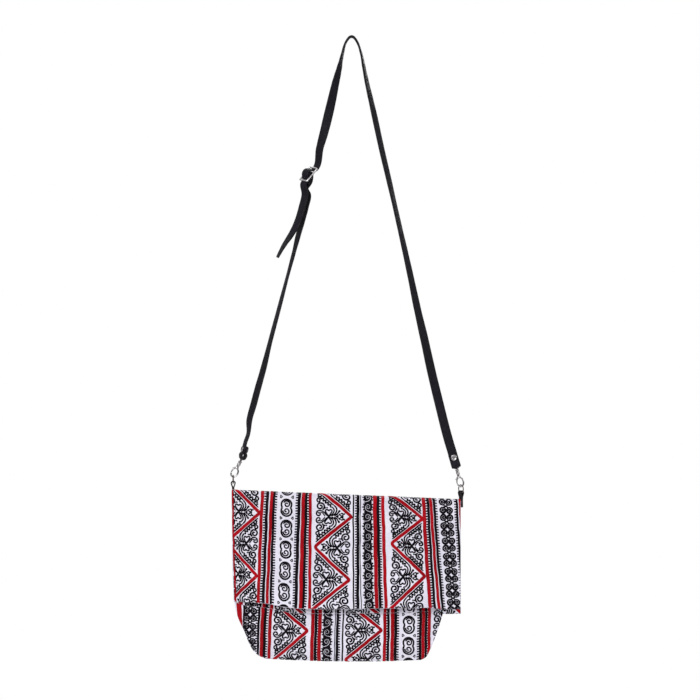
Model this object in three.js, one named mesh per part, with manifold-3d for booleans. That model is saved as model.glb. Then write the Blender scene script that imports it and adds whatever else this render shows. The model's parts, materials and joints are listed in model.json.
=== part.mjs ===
// A foldover shoulder bag of printed cotton, hanging from its narrow leather strap.
// Millimetres, +Z up. The front faces -Y. The origin is the underside of the strap's crown,
// where a peg or a shoulder holds it.
import * as THREE from 'three';
import { mergeVertices } from 'three/addons/utils/BufferGeometryUtils.js';
import Module from 'manifold-3d';

const wasm = await Module();
wasm.setup();

// Clearance between pieces that touch
const gap = 0.3;

// Cloth bag: a flat tube of two panels, with its upper part folded over to the front
const clothWall = 1.6;
const bagWidth = 298;
const bagHeight = 220;
const bagDepth = 26;
const bagTop = -587.6;
const bagLeft = -156.1;
const topFall = 12.5;
const bottomSag = 3;
const flapLength = 146;
const stripLength = 7;
const flapAir = 1;
const mouthGape = 8;
const foldGape = 4.4;
const bodyPlane = 3;
const seamLip = 5;
const roundReach = 46;

// Leather strap
const strapWidth = 12;
const strapThick = 2.6;
const crownHalf = 8;
const crownRise = 8.05;
const crownEase = 0.35;

// Three-bar slider
const sliderBar = 1.2;
const sliderPitch = 11;
const sliderCentre = new THREE.Vector3(-56, 0, -177.3);
const sliderSide = new THREE.Vector3(0.609, -0.769, -0.181);
const sliderDown = new THREE.Vector3(-0.591, -0.289, -0.752);

// Degrees that the lower strap turns round the slider's middle bar, and where it starts
const loopTurn = 232;
const loopFrom = 233;

// Swivel hooks, in a local frame with the eye's bar at the origin and the hook below it
const eyeWire = 0.9;
const eyeWidth = 8;
const eyeDrop = 4.9;
const postRadius = 1;
const headRadius = 1.7;
const headHeight = 1.2;
const barrelRadius = 2.5;
const barrelLength = 6.2;
const hookLength = 30;
const hookWidth = 10.4;
const hookOval = 14.3;
const hookWire = 1.05;
const leverPin = 0.5;
const leverHalf = 0.6;
const knobReach = 2.9;

// Rings, tab loops and rivets
const ringOuter = 12;
const ringWire = 0.75;
const tabWidth = 6;
const tabWall = 1.5;
const tabHole = 1.7;
const rivetCap = 4;
const rivetPost = 1.5;
const rivetDome = 1.3;
const rivetUp = 10;
const strapFoldUp = 14.5;

// Cloth outline: how far each side comes in, as shares of the width, by height above the bottom
const bodyEdge = [
  { up: 0, left: 0.150, right: 0.175 },
  { up: 0.018, left: 0.116, right: 0.151 },
  { up: 0.065, left: 0.085, right: 0.133 },
  { up: 0.16, left: 0.055, right: 0.107 },
  { up: 0.254, left: 0.024, right: 0.085 },
  { up: 0.35, left: 0.011, right: 0.068 },
  { up: 0.585, left: 0.002, right: 0.036 },
  { up: 1, left: 0, right: 0 },
];

// How full the body is, as a share of its depth, by height above the bottom
const bodyFill = [
  { up: 0, fill: 0 },
  { up: 0.02, fill: 0.42 },
  { up: 0.06, fill: 0.78 },
  { up: 0.13, fill: 0.98 },
  { up: 0.25, fill: 0.95 },
  { up: 0.45, fill: 0.68 },
  { up: 0.7, fill: 0.42 },
  { up: 1, fill: 0.24 },
];

// The flap's lower edge, as shares of its length, across the bag from left to right
const flapHem = [
  { across: 0, drop: 0.995 },
  { across: 0.13, drop: 0.986 },
  { across: 0.28, drop: 1.018 },
  { across: 0.67, drop: 0.985 },
  { across: 0.86, drop: 0.968 },
  { across: 0.93, drop: 0.998 },
  { across: 1, drop: 0.994 },
];

// Soft dents and swells of all the layers together: centre and size as shares, depth in shares of bagDepth
const dents = [
  { across: 0.2, down: 0.45, wide: 0.16, tall: 0.5, push: 0.05 },
  { across: 0.46, down: 0.3, wide: 0.13, tall: 0.4, push: -0.04 },
  { across: 0.74, down: 0.55, wide: 0.15, tall: 0.45, push: 0.06 },
  { across: 0.93, down: 0.85, wide: 0.1, tall: 0.3, push: -0.07 },
  { across: 0.1, down: 0.9, wide: 0.12, tall: 0.2, push: -0.06 },
];

// Strap strands: how far below the crown, across and towards the back, and how far the face turns from the front
const rightStrand = [
  { down: 20, across: 12.3, back: 0, turn: 83 },
  { down: 40, across: 16.3, back: 0, turn: 75 },
  { down: 60, across: 20.3, back: 0, turn: 68 },
  { down: 81, across: 25.1, back: 0, turn: 62 },
  { down: 102, across: 29.8, back: 0, turn: 57 },
  { down: 144, across: 38.9, back: 0, turn: 58 },
  { down: 185, across: 48.5, back: 0, turn: 60 },
  { down: 216, across: 55.6, back: 0, turn: 65 },
  { down: 248, across: 62.8, back: 0, turn: 63 },
  { down: 279, across: 69.8, back: 0, turn: 58 },
  { down: 310, across: 76.6, back: 0, turn: 53 },
  { down: 352, across: 85.4, back: 0, turn: 43 },
  { down: 393, across: 94.8, back: 0, turn: 30 },
  { down: 435, across: 104, back: 0, turn: 20 },
  { down: 476, across: 113.9, back: 0, turn: 13 },
];
const leftStrand = [
  { down: 20, across: -11.6, back: 0, turn: 83 },
  { down: 29, across: -13.7, back: 0, turn: 77 },
  { down: 40, across: -16.1, back: 0, turn: 63 },
  { down: 50, across: -18.6, back: 0, turn: 52 },
  { down: 60, across: -21.1, back: 0, turn: 42 },
  { down: 71, across: -23.5, back: 0, turn: 33 },
  { down: 81, across: -25.7, back: 0, turn: 24 },
  { down: 102, across: -30.6, back: 0.3, turn: 3 },
  { down: 123, across: -35.8, back: 1, turn: -20 },
  { down: 143, across: -41.3, back: 2.2, turn: -38 },
];
const tailStrand = [
  { down: 204, across: -60.6, back: -3.4, turn: -46 },
  { down: 220, across: -64.2, back: -3.8, turn: -46 },
  { down: 237, across: -69.3, back: -4, turn: -48 },
  { down: 248, across: -74, back: -4, turn: -51 },
  { down: 258, across: -79.7, back: -4, turn: -56 },
  { down: 268, across: -86.5, back: -3.8, turn: -65 },
  { down: 279, across: -92.8, back: -3.6, turn: -74 },
  { down: 286, across: -96.4, back: -3.5, turn: -79 },
];
const lowerStrand = [
  { down: 204, across: -57, back: 1.8, turn: -49 },
  { down: 220, across: -59.8, back: 1.4, turn: -52 },
  { down: 237, across: -64, back: 1, turn: -56 },
  { down: 258, across: -69.7, back: 0.6, turn: -62 },
  { down: 279, across: -75, back: 0.3, turn: -72 },
  { down: 310, across: -83.3, back: 0, turn: -77 },
  { down: 351, across: -94.1, back: 0, turn: -71 },
  { down: 393, across: -105.3, back: 0, turn: -68 },
  { down: 435, across: -115.9, back: 0, turn: -54 },
  { down: 455, across: -121.6, back: 0, turn: -50 },
  { down: 476, across: -127.2, back: 0, turn: -49 },
  { down: 497, across: -132.9, back: 0, turn: -55 },
];

// Where the two ends hang: the tab's hole beside the bag's corner, the leans of the hook and of the strap's end,
// the turns of the strap's end, the ring and the tab, and how open the strap's fold stands
const ends = [
  {
    name: 'left', holeAcross: bagLeft + 2.1, holeUp: 8.6, hookLean: 27.5, strapLean: 14.5,
    strapTurn: -72, ringTurn: 0, tabTurn: 0, loopOpen: 1.1,
  },
  {
    name: 'right', holeAcross: bagLeft + bagWidth + 0.3, holeUp: 8.4, hookLean: -14.5, strapLean: -16.5,
    strapTurn: 4, ringTurn: 32, tabTurn: 34, loopOpen: 0,
  },
];

const clothPrint = new THREE.MeshStandardMaterial({ color: 0x8f7f88, roughness: 0.9, metalness: 0 });
const leatherBlack = new THREE.MeshStandardMaterial({ color: 0x1c1b25, roughness: 0.5, metalness: 0 });
const nickel = new THREE.MeshStandardMaterial({ color: 0xb9bac0, roughness: 0.25, metalness: 1 });
const darkWire = new THREE.MeshStandardMaterial({ color: 0x57504f, roughness: 0.35, metalness: 1 });

const radians = THREE.MathUtils.degToRad;
const yAxis = new THREE.Vector3(0, 1, 0);
const zAxis = new THREE.Vector3(0, 0, 1);

// Value of a column at a place between two rows of a table
function lookUp(table, key, column, at) {
  let index = 0;
  while (index < table.length - 2 && at > table[index + 1][key]) {
    index += 1;
  }
  const low = table[index];
  const high = table[index + 1];
  const share = THREE.MathUtils.clamp((at - low[key]) / (high[key] - low[key]), 0, 1);
  return low[column] + (high[column] - low[column]) * share;
}

// Closed geometry from points and triangles, turned to face outwards
function closedGeometry(points, triangles) {
  let volume = 0;
  for (const [a, b, c] of triangles) {
    volume += points[a].dot(new THREE.Vector3().crossVectors(points[b], points[c]));
  }
  const faces = volume < 0 ? triangles.map(([a, b, c]) => [a, c, b]) : triangles;
  const geometry = new THREE.BufferGeometry();
  geometry.setAttribute('position', new THREE.Float32BufferAttribute(points.flatMap((p) => [p.x, p.y, p.z]), 3));
  geometry.setIndex(faces.flat());
  return geometry;
}

// Sheet of even thickness round a surface given by its middle, closed at its four borders
function sheetGeometry(middle, acrossShares, alongShares, thickness) {
  const step = 1e-4;
  const points = [];
  for (const side of [0.5, -0.5]) {
    for (const along of alongShares) {
      for (const across of acrossShares) {
        const alongBase = Math.min(along, alongShares.at(-1) - step);
        const acrossBase = Math.min(across, 1 - step);
        const here = middle(across, along);
        const base = middle(acrossBase, alongBase);
        const right = middle(acrossBase + step, alongBase).sub(base);
        const up = middle(acrossBase, alongBase + step).sub(base);
        const normal = right.cross(up).normalize();
        points.push(here.addScaledVector(normal, side * thickness));
      }
    }
  }
  const columns = acrossShares.length;
  const rows = alongShares.length;
  const sheet = columns * rows;
  const triangles = [];
  const quad = (a, b, c, d) => triangles.push([a, b, c], [a, c, d]);
  for (let row = 0; row < rows - 1; row += 1) {
    for (let column = 0; column < columns - 1; column += 1) {
      const a = row * columns + column;
      quad(a, a + 1, a + columns + 1, a + columns);
      quad(sheet + a, sheet + a + columns, sheet + a + columns + 1, sheet + a + 1);
    }
    const start = row * columns;
    const end = start + columns - 1;
    quad(start, start + columns, sheet + start + columns, sheet + start);
    quad(end + columns, end, sheet + end, sheet + end + columns);
  }
  for (let column = 0; column < columns - 1; column += 1) {
    const top = (rows - 1) * columns + column;
    quad(column + 1, column, sheet + column, sheet + column + 1);
    quad(top, top + 1, sheet + top + 1, sheet + top);
  }
  return closedGeometry(points, triangles);
}

// Solid skinned over a row of rings that have the same number of points, capped or closed on itself
function skinGeometry(rings, isLoop) {
  const sides = rings[0].length;
  const triangles = [];
  const last = isLoop ? rings.length : rings.length - 1;
  for (let row = 0; row < last; row += 1) {
    const here = row * sides;
    const next = ((row + 1) % rings.length) * sides;
    for (let side = 0; side < sides; side += 1) {
      const beside = (side + 1) % sides;
      triangles.push([here + side, here + beside, next + beside], [here + side, next + beside, next + side]);
    }
  }
  if (!isLoop) {
    const end = (rings.length - 1) * sides;
    for (let side = 1; side < sides - 1; side += 1) {
      triangles.push([0, side + 1, side], [end, end + side, end + side + 1]);
    }
  }
  return closedGeometry(rings.flat(), triangles);
}

// Flat band along a row of places, each with its own width direction
function bandGeometry(places, width, thickness) {
  const rings = places.map((place, index) => {
    const before = places[Math.max(index - 1, 0)].at;
    const after = places[Math.min(index + 1, places.length - 1)].at;
    const onward = after.clone().sub(before).normalize();
    const face = onward.clone().cross(place.side).normalize();
    const side = face.clone().cross(onward).normalize();
    return [[-1, -1], [1, -1], [1, 1], [-1, 1]].map(([across, out]) => place.at.clone()
      .addScaledVector(side, across * width / 2)
      .addScaledVector(face, out * thickness / 2));
  });
  return skinGeometry(rings, false);
}

// Wire along a flat path in the local X and Z, with its own half width and half depth
function wireGeometry(path, halfWidth, halfDepth, sides, isLoop) {
  const rings = path.map(([x, z], index) => {
    const before = path[isLoop ? (index + path.length - 1) % path.length : Math.max(index - 1, 0)];
    const after = path[isLoop ? (index + 1) % path.length : Math.min(index + 1, path.length - 1)];
    const onward = new THREE.Vector2(after[0] - before[0], after[1] - before[1]).normalize();
    return Array.from({ length: sides }, (_, side) => {
      const angle = (side + 0.5) / sides * Math.PI * 2;
      const out = halfWidth * Math.cos(angle);
      return new THREE.Vector3(x - onward.y * out, halfDepth * Math.sin(angle), z + onward.x * out);
    });
  });
  return skinGeometry(rings, isLoop);
}

// Solid turned about the local Z from radius and height pairs
function turnedGeometry(profile, sides) {
  const geometry = new THREE.LatheGeometry(profile.map(([radius, height]) => new THREE.Vector2(radius, height)), sides);
  return geometry.rotateX(Math.PI / 2);
}

// Geometry as a solid that can be joined and cut
function solidOf(geometry) {
  const bare = geometry.clone();
  bare.deleteAttribute('normal');
  bare.deleteAttribute('uv');
  const merged = mergeVertices(bare, 1e-5);
  return new wasm.Manifold(new wasm.Mesh({
    numProp: 3,
    vertProperties: new Float32Array(merged.attributes.position.array),
    triVerts: new Uint32Array(merged.index.array),
  }));
}

// Solid as geometry again
function geometryOf(solid) {
  const mesh = solid.getMesh();
  const geometry = new THREE.BufferGeometry();
  geometry.setAttribute('position', new THREE.BufferAttribute(new Float32Array(mesh.vertProperties), 3));
  geometry.setIndex(new THREE.BufferAttribute(new Uint32Array(mesh.triVerts), 1));
  return geometry;
}

// Smooth rise from the seam lip at either side to the full middle of the bag
function fullness(distance) {
  const share = THREE.MathUtils.clamp((distance - seamLip) / roundReach, 0, 1);
  return Math.sin(share * Math.PI / 2);
}

const seamHalf = (clothWall + gap) / 2;
const layerStep = clothWall + flapAir;

function bodyLeft(up) {
  return bagLeft + bagWidth * lookUp(bodyEdge, 'up', 'left', up);
}

function bodyRight(up) {
  return bagLeft + bagWidth * (1 - lookUp(bodyEdge, 'up', 'right', up));
}

// Half of the body's depth at a place across and a height share
function halfDepth(x, up) {
  const nearest = Math.min(x - bodyLeft(up), bodyRight(up) - x);
  return seamHalf + fullness(nearest) * lookUp(bodyFill, 'up', 'fill', up) * bagDepth / 2;
}

// Distance between the middles of the flap's two layers, from the fold (0) down to the open mouth (1)
function mouthSpan(x, down) {
  const nearest = Math.min(x - bagLeft, bagLeft + bagWidth - x);
  return clothWall + gap + fullness(nearest) * THREE.MathUtils.lerp(foldGape, mouthGape, down);
}

function topLine(across) {
  return bagTop - topFall * across;
}

function bottomLine(across) {
  const sag = bottomSag * (1 - (2 * across - 1) ** 2);
  return bagTop - bagHeight + bottomSag - sag;
}

function foldRadius(x) {
  return halfDepth(x, 1) + (layerStep + mouthSpan(x, 0)) / 2;
}

function foldLine(across) {
  const x = bagLeft + bagWidth * across;
  return topLine(across) - foldRadius(x) - clothWall / 2;
}

// Dents and swells move every layer by the same amount, so that the layers keep their clearance
function dentAt(x, z) {
  const across = (x - bagLeft) / bagWidth;
  const down = (bagTop - z) / bagHeight;
  let push = 0;
  for (const dent of dents) {
    const far = ((across - dent.across) / dent.wide) ** 2 + ((down - dent.down) / dent.tall) ** 2;
    push += dent.push * bagDepth * Math.exp(-far);
  }
  return push;
}

// A panel runs up the body (0 to 1), over the fold (1 to 2) and down the flap (2 to 3)
function panelPoint(across, along, isBack) {
  const foldX = bagLeft + bagWidth * across;
  const fold = foldLine(across);
  let x = foldX;
  let y = 0;
  let z = fold;
  if (along < 1) {
    x = THREE.MathUtils.lerp(bodyLeft(along), bodyRight(along), across);
    const bodyAcross = (x - bagLeft) / bagWidth;
    z = THREE.MathUtils.lerp(bottomLine(bodyAcross), foldLine(bodyAcross), along);
    y = bodyPlane + halfDepth(x, along) * (isBack ? 1 : -1);
  } else if (along <= 2) {
    const front = bodyPlane - halfDepth(x, 1);
    const centre = isBack ? bodyPlane - (layerStep + mouthSpan(x, 0)) / 2 : front - layerStep / 2;
    const radius = isBack ? foldRadius(x) : layerStep / 2;
    const angle = (along - 1) * Math.PI;
    y = centre + radius * Math.cos(angle);
    z = fold + radius * Math.sin(angle);
  } else {
    const drop = flapLength * lookUp(flapHem, 'across', 'drop', across) + (isBack ? 0 : stripLength);
    z = THREE.MathUtils.lerp(fold, topLine(across) - drop, along - 2);
    const bottom = bottomLine(across);
    const up = (z - bottom) / (fold - bottom);
    y = bodyPlane - halfDepth(x, up) - layerStep - (isBack ? mouthSpan(x, along - 2) : 0);
  }
  return new THREE.Vector3(x, y + dentAt(x, z), z);
}

// Shares from 0 to 1 that lie closer together at both ends
function easedShares(count) {
  return Array.from({ length: count + 1 }, (_, index) => {
    const share = index / count;
    return 0.5 * share + 0.25 * (1 - Math.cos(share * Math.PI));
  });
}

function panelRows() {
  const rows = [];
  const bodyRows = 12;
  const foldRows = 8;
  const flapRows = 8;
  for (let row = 0; row < bodyRows; row += 1) {
    rows.push((row / bodyRows) ** 1.5);
  }
  for (let row = 0; row < foldRows; row += 1) {
    rows.push(1 + row / foldRows);
  }
  for (let row = 0; row <= flapRows; row += 1) {
    rows.push(2 + row / flapRows);
  }
  return rows;
}

function panel(isBack) {
  const middle = (across, along) => panelPoint(across, along, isBack);
  return sheetGeometry(middle, easedShares(18), panelRows(), clothWall);
}

// Local frame of an end: X across, Y back, Z up, leaning and turned about its own length
function leaningGroup(place, lean, turn) {
  const group = new THREE.Group();
  group.position.copy(place);
  group.rotation.set(0, radians(lean), radians(turn), 'YZX');
  group.updateMatrixWorld(true);
  return group;
}

function ellipsePath(centreX, centreZ, halfWidth, halfHeight, fromDegrees, toDegrees, steps) {
  return Array.from({ length: steps + 1 }, (_, index) => {
    const angle = radians(fromDegrees + (toDegrees - fromDegrees) * index / steps);
    return [centreX + halfWidth * Math.cos(angle), centreZ + halfHeight * Math.sin(angle)];
  });
}

const postTop = -eyeDrop;
const barrelTop = -eyeDrop - eyeWire - gap;
const headTop = barrelTop - 2 - gap;
const headBottom = headTop - headHeight;
const barrelBottom = barrelTop - barrelLength;
const ovalHalfWidth = hookWidth / 2 - hookWire;
const ovalHalfHeight = hookOval / 2 - hookWire;
const ovalCentre = -hookLength + hookWire + ovalHalfHeight;
const ringSeat = -hookLength + 2 * hookWire + gap + ringWire;
const pivotX = -ovalHalfWidth * 0.6;
const pivotZ = ovalCentre + ovalHalfHeight;

// Eye: a rounded bar that the strap folds round, two legs, and a headed post for the hook
function swivelEye() {
  const half = eyeWidth / 2 - eyeWire;
  const corner = half / 3;
  const top = [...ellipsePath(half - corner, -corner, corner, corner, 0, 90, 3),
    ...ellipsePath(corner - half, -corner, corner, corner, 90, 180, 3)];
  const bottom = ellipsePath(0, eyeWidth / 4 - eyeDrop, half, eyeWidth / 4, 180, 360, 8);
  const loop = solidOf(wireGeometry([...top, ...bottom], eyeWire, eyeWire, 8, true));
  const post = solidOf(turnedGeometry([[0, headBottom], [headRadius, headBottom], [headRadius, headTop],
    [postRadius, headTop], [postRadius, postTop], [0, postTop]], 16));
  return geometryOf(loop.add(post));
}

// Hook: a barrel with a chamber for the post's head, a shoulder, and an open oval
function hookBody() {
  const neck = postRadius + gap;
  const chamber = headRadius + gap;
  const shoulderBottom = pivotZ + hookWire;
  const barrel = solidOf(turnedGeometry([[0, barrelBottom], [barrelRadius, barrelBottom], [barrelRadius, barrelTop],
    [neck, barrelTop], [neck, headTop + gap], [chamber, headTop + gap], [chamber, headBottom - gap],
    [0, headBottom - gap]], 16));
  const shoulder = solidOf(turnedGeometry([[0, pivotZ - hookWire], [hookWire * 2, pivotZ - hookWire],
    [hookWire * 2.4, pivotZ], [hookWire * 1.7, shoulderBottom], [hookWire * 1.7, barrelBottom + 0.5],
    [0, barrelBottom + 0.5]], 16));
  const oval = solidOf(wireGeometry(ellipsePath(0, ovalCentre, ovalHalfWidth, ovalHalfHeight, 80, -155, 22),
    hookWire, hookWire * 1.15, 8, false));
  const slot = solidOf(new THREE.BoxGeometry(ovalHalfWidth * 1.9, (leverHalf + gap) * 2, hookWire * 5.4)
    .translate(-ovalHalfWidth * 0.95 - 0.2, 0, pivotZ - hookWire * 0.6));
  const hole = solidOf(new THREE.CylinderGeometry(leverPin + gap, leverPin + gap, barrelRadius * 4, 12)
    .translate(pivotX, 0, pivotZ));
  return geometryOf(barrel.add(shoulder).add(oval).subtract(slot).subtract(hole));
}

// Lever: closes the oval's open side, with a pin at its top and a thumb knob
function hookLever() {
  const arm = solidOf(wireGeometry(ellipsePath(0, ovalCentre, ovalHalfWidth, ovalHalfHeight, 118, 195, 8),
    hookWire * 0.8, leverHalf, 8, false));
  const root = solidOf(new THREE.CylinderGeometry(hookWire * 1.1, hookWire * 1.1, leverHalf * 2, 12)
    .translate(pivotX, 0, pivotZ));
  const pin = solidOf(new THREE.CylinderGeometry(leverPin, leverPin, hookWire * 4.2, 10)
    .translate(pivotX, 0, pivotZ));
  const knobPath = [[pivotX - hookWire * 0.5, pivotZ - hookWire * 1.2],
    [pivotX - knobReach, pivotZ - hookWire * 1.7]];
  const knob = solidOf(wireGeometry(knobPath, hookWire * 0.75, leverHalf, 8, false));
  return geometryOf(root.add(arm).add(pin).add(knob));
}

function ring() {
  const middle = ringOuter / 2 - ringWire;
  const path = ellipsePath(0, 0, middle, middle, 0, 360, 28).slice(0, -1);
  return wireGeometry(path, ringWire, ringWire, 8, true);
}

// Folded leather strip: a round loop for the ring and a flat tongue down to the bag's corner
function tabLoop(tongueLength) {
  const outer = tabHole + tabWall;
  const tongue = tabWall;
  const shape = new THREE.Shape();
  shape.absarc(0, 0, outer, radians(-35), radians(215), false);
  shape.lineTo(-tongue, -outer * 1.7);
  shape.lineTo(-tongue, -tongueLength);
  shape.lineTo(tongue, -tongueLength);
  shape.lineTo(tongue, -outer * 1.7);
  shape.closePath();
  const hole = new THREE.Path();
  hole.absarc(0, 0, tabHole, 0, Math.PI * 2, true);
  shape.holes.push(hole);
  const geometry = new THREE.ExtrudeGeometry(shape, { depth: tabWidth, bevelEnabled: false, curveSegments: 18 });
  return geometry.translate(0, 0, -tabWidth / 2).rotateX(Math.PI / 2);
}

// Cap rivet with a dished face, through both layers of the strap's end
function rivet() {
  const inner = strapThick + gap / 2 + gap;
  const face = inner + rivetDome;
  const side = [[rivetPost, inner], [rivetCap, inner], [rivetCap, inner + rivetDome * 0.5],
    [rivetCap * 0.8, face], [rivetCap * 0.62, face - 0.15], [rivetCap * 0.5, face - 0.45], [0, face - 0.5]];
  const mirrored = side.map(([radius, height]) => [radius, -height]).reverse();
  return turnedGeometry([...mirrored, ...side], 20).rotateX(Math.PI / 2);
}

// Slider: a rounded rectangle of round bar with a middle bar, X along the bars and Z up
function slider() {
  const half = strapWidth / 2 + gap * 2 + sliderBar;
  const path = [];
  for (const [cornerX, cornerZ, from] of [[1, 1, 0], [-1, 1, 90], [-1, -1, 180], [1, -1, 270]]) {
    const radius = sliderBar;
    path.push(...ellipsePath(cornerX * (half - radius), cornerZ * (sliderPitch - radius), radius, radius,
      from, from + 90, 3));
  }
  const frame = solidOf(wireGeometry(path, sliderBar, sliderBar, 8, true));
  const bar = solidOf(new THREE.CylinderGeometry(sliderBar, sliderBar, half * 2, 12).rotateZ(Math.PI / 2));
  return geometryOf(frame.add(bar));
}

// Where each end's pieces hang, worked out upwards from the bag's corner
function endPlaces(end) {
  const across = (end.holeAcross - bagLeft) / bagWidth;
  const hole = new THREE.Vector3(end.holeAcross, bodyPlane - foldRadius(bagLeft) + seamHalf, topLine(across) + end.holeUp);
  const ringMiddle = ringOuter / 2 - ringWire;
  const ringRise = ringMiddle - Math.sqrt(ringMiddle ** 2 - (tabWidth / 2) ** 2);
  const lift = ringRise + ringWire + gap - tabHole;
  const ringCentre = hole.clone().add(new THREE.Vector3(0, 0, ringMiddle - lift));
  const ringTop = ringCentre.clone().add(new THREE.Vector3(0, 0, ringMiddle));
  const hookUp = zAxis.clone().applyAxisAngle(yAxis, radians(end.hookLean));
  const eyeBar = ringTop.clone().addScaledVector(hookUp, -ringSeat);
  return { hole, ringCentre, eyeBar };
}

// Strap end: down to the eye's bar, round it, and back up behind itself, as local [down, out] places
const turnRadius = eyeWire + gap + strapThick / 2;
const layerHalf = (strapThick + gap) / 2;

function endFold(open) {
  const rows = [[-30, layerHalf * 0.4], [-20, layerHalf], [-rivetUp - 3, layerHalf], [-rivetUp, layerHalf],
    [-rivetUp + rivetCap + gap, layerHalf], [-turnRadius * 1.5, layerHalf + 0.45 + open * 0.8],
    [-turnRadius * 0.7, turnRadius + open * 0.6]];
  for (let step = 0; step <= 8; step += 1) {
    const angle = Math.PI * step / 8;
    rows.push([turnRadius * Math.sin(angle), turnRadius * Math.cos(angle)]);
  }
  const back = rows.slice(2, 7).reverse().map(([down, out]) => [down, -out]);
  return [...rows, ...back, [-strapFoldUp, -layerHalf]];
}

// Width direction of a strap whose face is turned from the front, for its direction down the strand
function widthDirection(downward, turn) {
  const level = new THREE.Vector3(-downward.z, 0, downward.x).normalize();
  return level.multiplyScalar(Math.cos(radians(turn))).addScaledVector(yAxis, Math.sin(radians(turn)));
}

function strandPlaces(strand) {
  const spots = strand.map((row) => new THREE.Vector3(row.across, row.back, -row.down));
  return strand.map((row, index) => {
    const above = spots[Math.max(index - 1, 0)];
    const below = spots[Math.min(index + 1, spots.length - 1)];
    return { at: spots[index], side: widthDirection(below.clone().sub(above), row.turn) };
  });
}

function endFoldPlaces(end) {
  const { eyeBar } = endPlaces(end);
  const downward = new THREE.Vector3(0, 0, -1).applyAxisAngle(yAxis, radians(end.strapLean));
  const side = widthDirection(downward, end.strapTurn);
  const out = downward.clone().cross(side).normalize();
  const places = endFold(end.loopOpen).map(([down, off]) => ({
    at: eyeBar.clone().addScaledVector(downward, down).addScaledVector(out, off),
    side: side.clone(),
  }));
  return { places, eyeBar, downward, side, out };
}

// Rivet hole and the two slots that let the eye's legs out of the fold
function endCutters(fold) {
  const basis = new THREE.Matrix4().makeBasis(fold.side, fold.out.clone().negate(), fold.downward.clone().negate());
  basis.setPosition(fold.eyeBar);
  const cutters = [new THREE.CylinderGeometry(rivetPost + gap, rivetPost + gap, strapThick * 6, 16)
    .translate(0, 0, rivetUp).applyMatrix4(basis)];
  const leg = eyeWidth / 2 - eyeWire;
  const slotWidth = 2 * (eyeWire + 3 * gap);
  for (const sign of [-1, 1]) {
    cutters.push(new THREE.BoxGeometry(slotWidth, slotWidth * 2, strapThick * 4)
      .translate(sign * leg, 0, -strapThick * 2).applyMatrix4(basis));
  }
  return { cutters, basis };
}

// The strap's bend over the crown, level in the middle
function crownPlaces() {
  const rise = strapThick / 2;
  const shares = [[1, -1], [0.62, -0.36], [0.34, -0.06], [0.13, 0.0], [-0.13, 0.0], [-0.34, -0.06],
    [-0.62, -0.36], [-1, -1]];
  return shares.map(([across, up]) => ({
    at: new THREE.Vector3(across * crownHalf, 0, rise + up * crownRise - (up === 0 ? 0 : crownEase)),
    side: yAxis.clone(),
  }));
}

// Places on the slider given in its own frame: down along it, out to the front
const sliderFront = sliderDown.clone().cross(sliderSide).normalize();

function sliderPlaces(rows) {
  return rows.map(([down, out]) => ({
    at: sliderCentre.clone().addScaledVector(sliderDown, down).addScaledVector(sliderFront, out),
    side: sliderSide.clone(),
  }));
}

const barClear = sliderBar + gap + strapThick / 2;
const overClear = barClear + strapThick + gap;

// The main strap passes behind the top bar, over the middle bar and behind the bottom bar
function sliderWeave() {
  const half = [[0, 1], [2.6, 0.9], [4.7, 0.6], [6.6, 0.12]];
  const over = half.map(([down, out]) => [down, out * overClear]);
  const under = [[8.3, -barClear * 0.58], [sliderPitch - 1, -barClear - 0.02], [sliderPitch + 1.4, -barClear - 0.15]];
  const lower = [...over, ...under];
  const upper = lower.slice(1).map(([down, out]) => [-down, out]).reverse();
  return sliderPlaces([...upper, ...lower]);
}

// The lower strap comes up behind the bottom bar, round the middle bar, and lies back on itself
function sliderLoop() {
  const back = barClear + 2 * (strapThick + gap) + 0.6;
  const rows = [[sliderPitch + 4, -back - 0.3], [sliderPitch + 1, -back - 0.1], [8, -back + 0.2], [5.2, -back + 1.2],
    [2.3, -6.1]];
  for (let step = 0; step <= 8; step += 1) {
    const angle = radians(loopFrom - loopTurn * step / 8);
    rows.push([Math.cos(angle) * barClear, Math.sin(angle) * barClear]);
  }
  rows.push([3.5, -1.2], [5.1, -4.1], [8, -6.2], [11, -6.5]);
  return sliderPlaces(rows);
}

function strapMain() {
  const right = ends[1];
  const fold = endFoldPlaces(right);
  const places = [...fold.places.slice().reverse(), ...strandPlaces(rightStrand).reverse(), ...crownPlaces(),
    ...strandPlaces(leftStrand), ...sliderWeave(), ...strandPlaces(tailStrand)];
  return { geometry: bandGeometry(places, strapWidth, strapThick), fold };
}

function strapLower() {
  const left = ends[0];
  const fold = endFoldPlaces(left);
  const loop = sliderLoop().reverse();
  const places = [...loop, ...strandPlaces(lowerStrand), ...fold.places];
  return { geometry: bandGeometry(places, strapWidth, strapThick), fold };
}

const bag = new THREE.Group();

function addMesh(parent, name, geometry, material) {
  const mesh = new THREE.Mesh(geometry, material);
  mesh.name = name;
  parent.add(mesh);
  return mesh;
}

addMesh(bag, 'front_panel', panel(false), clothPrint);
addMesh(bag, 'back_panel', panel(true), clothPrint);

for (const end of ends) {
  const { hole, ringCentre, eyeBar } = endPlaces(end);
  const tab = addMesh(bag, `${end.name}_tab_loop`, tabLoop(end.holeUp - 2 * gap), leatherBlack);
  tab.position.copy(hole);
  tab.rotation.z = radians(end.tabTurn);
  const ringMesh = addMesh(bag, `${end.name}_ring`, ring(), darkWire);
  ringMesh.position.copy(ringCentre);
  ringMesh.rotation.z = radians(90 + end.ringTurn);
  const hanging = leaningGroup(eyeBar, end.hookLean, 0);
  bag.add(hanging);
  addMesh(hanging, `${end.name}_hook`, hookBody(), nickel);
  addMesh(hanging, `${end.name}_lever`, hookLever(), nickel);
  const eyeGroup = leaningGroup(eyeBar, end.hookLean, end.strapTurn);
  bag.add(eyeGroup);
  addMesh(eyeGroup, `${end.name}_swivel_eye`, swivelEye(), nickel);
}

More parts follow.
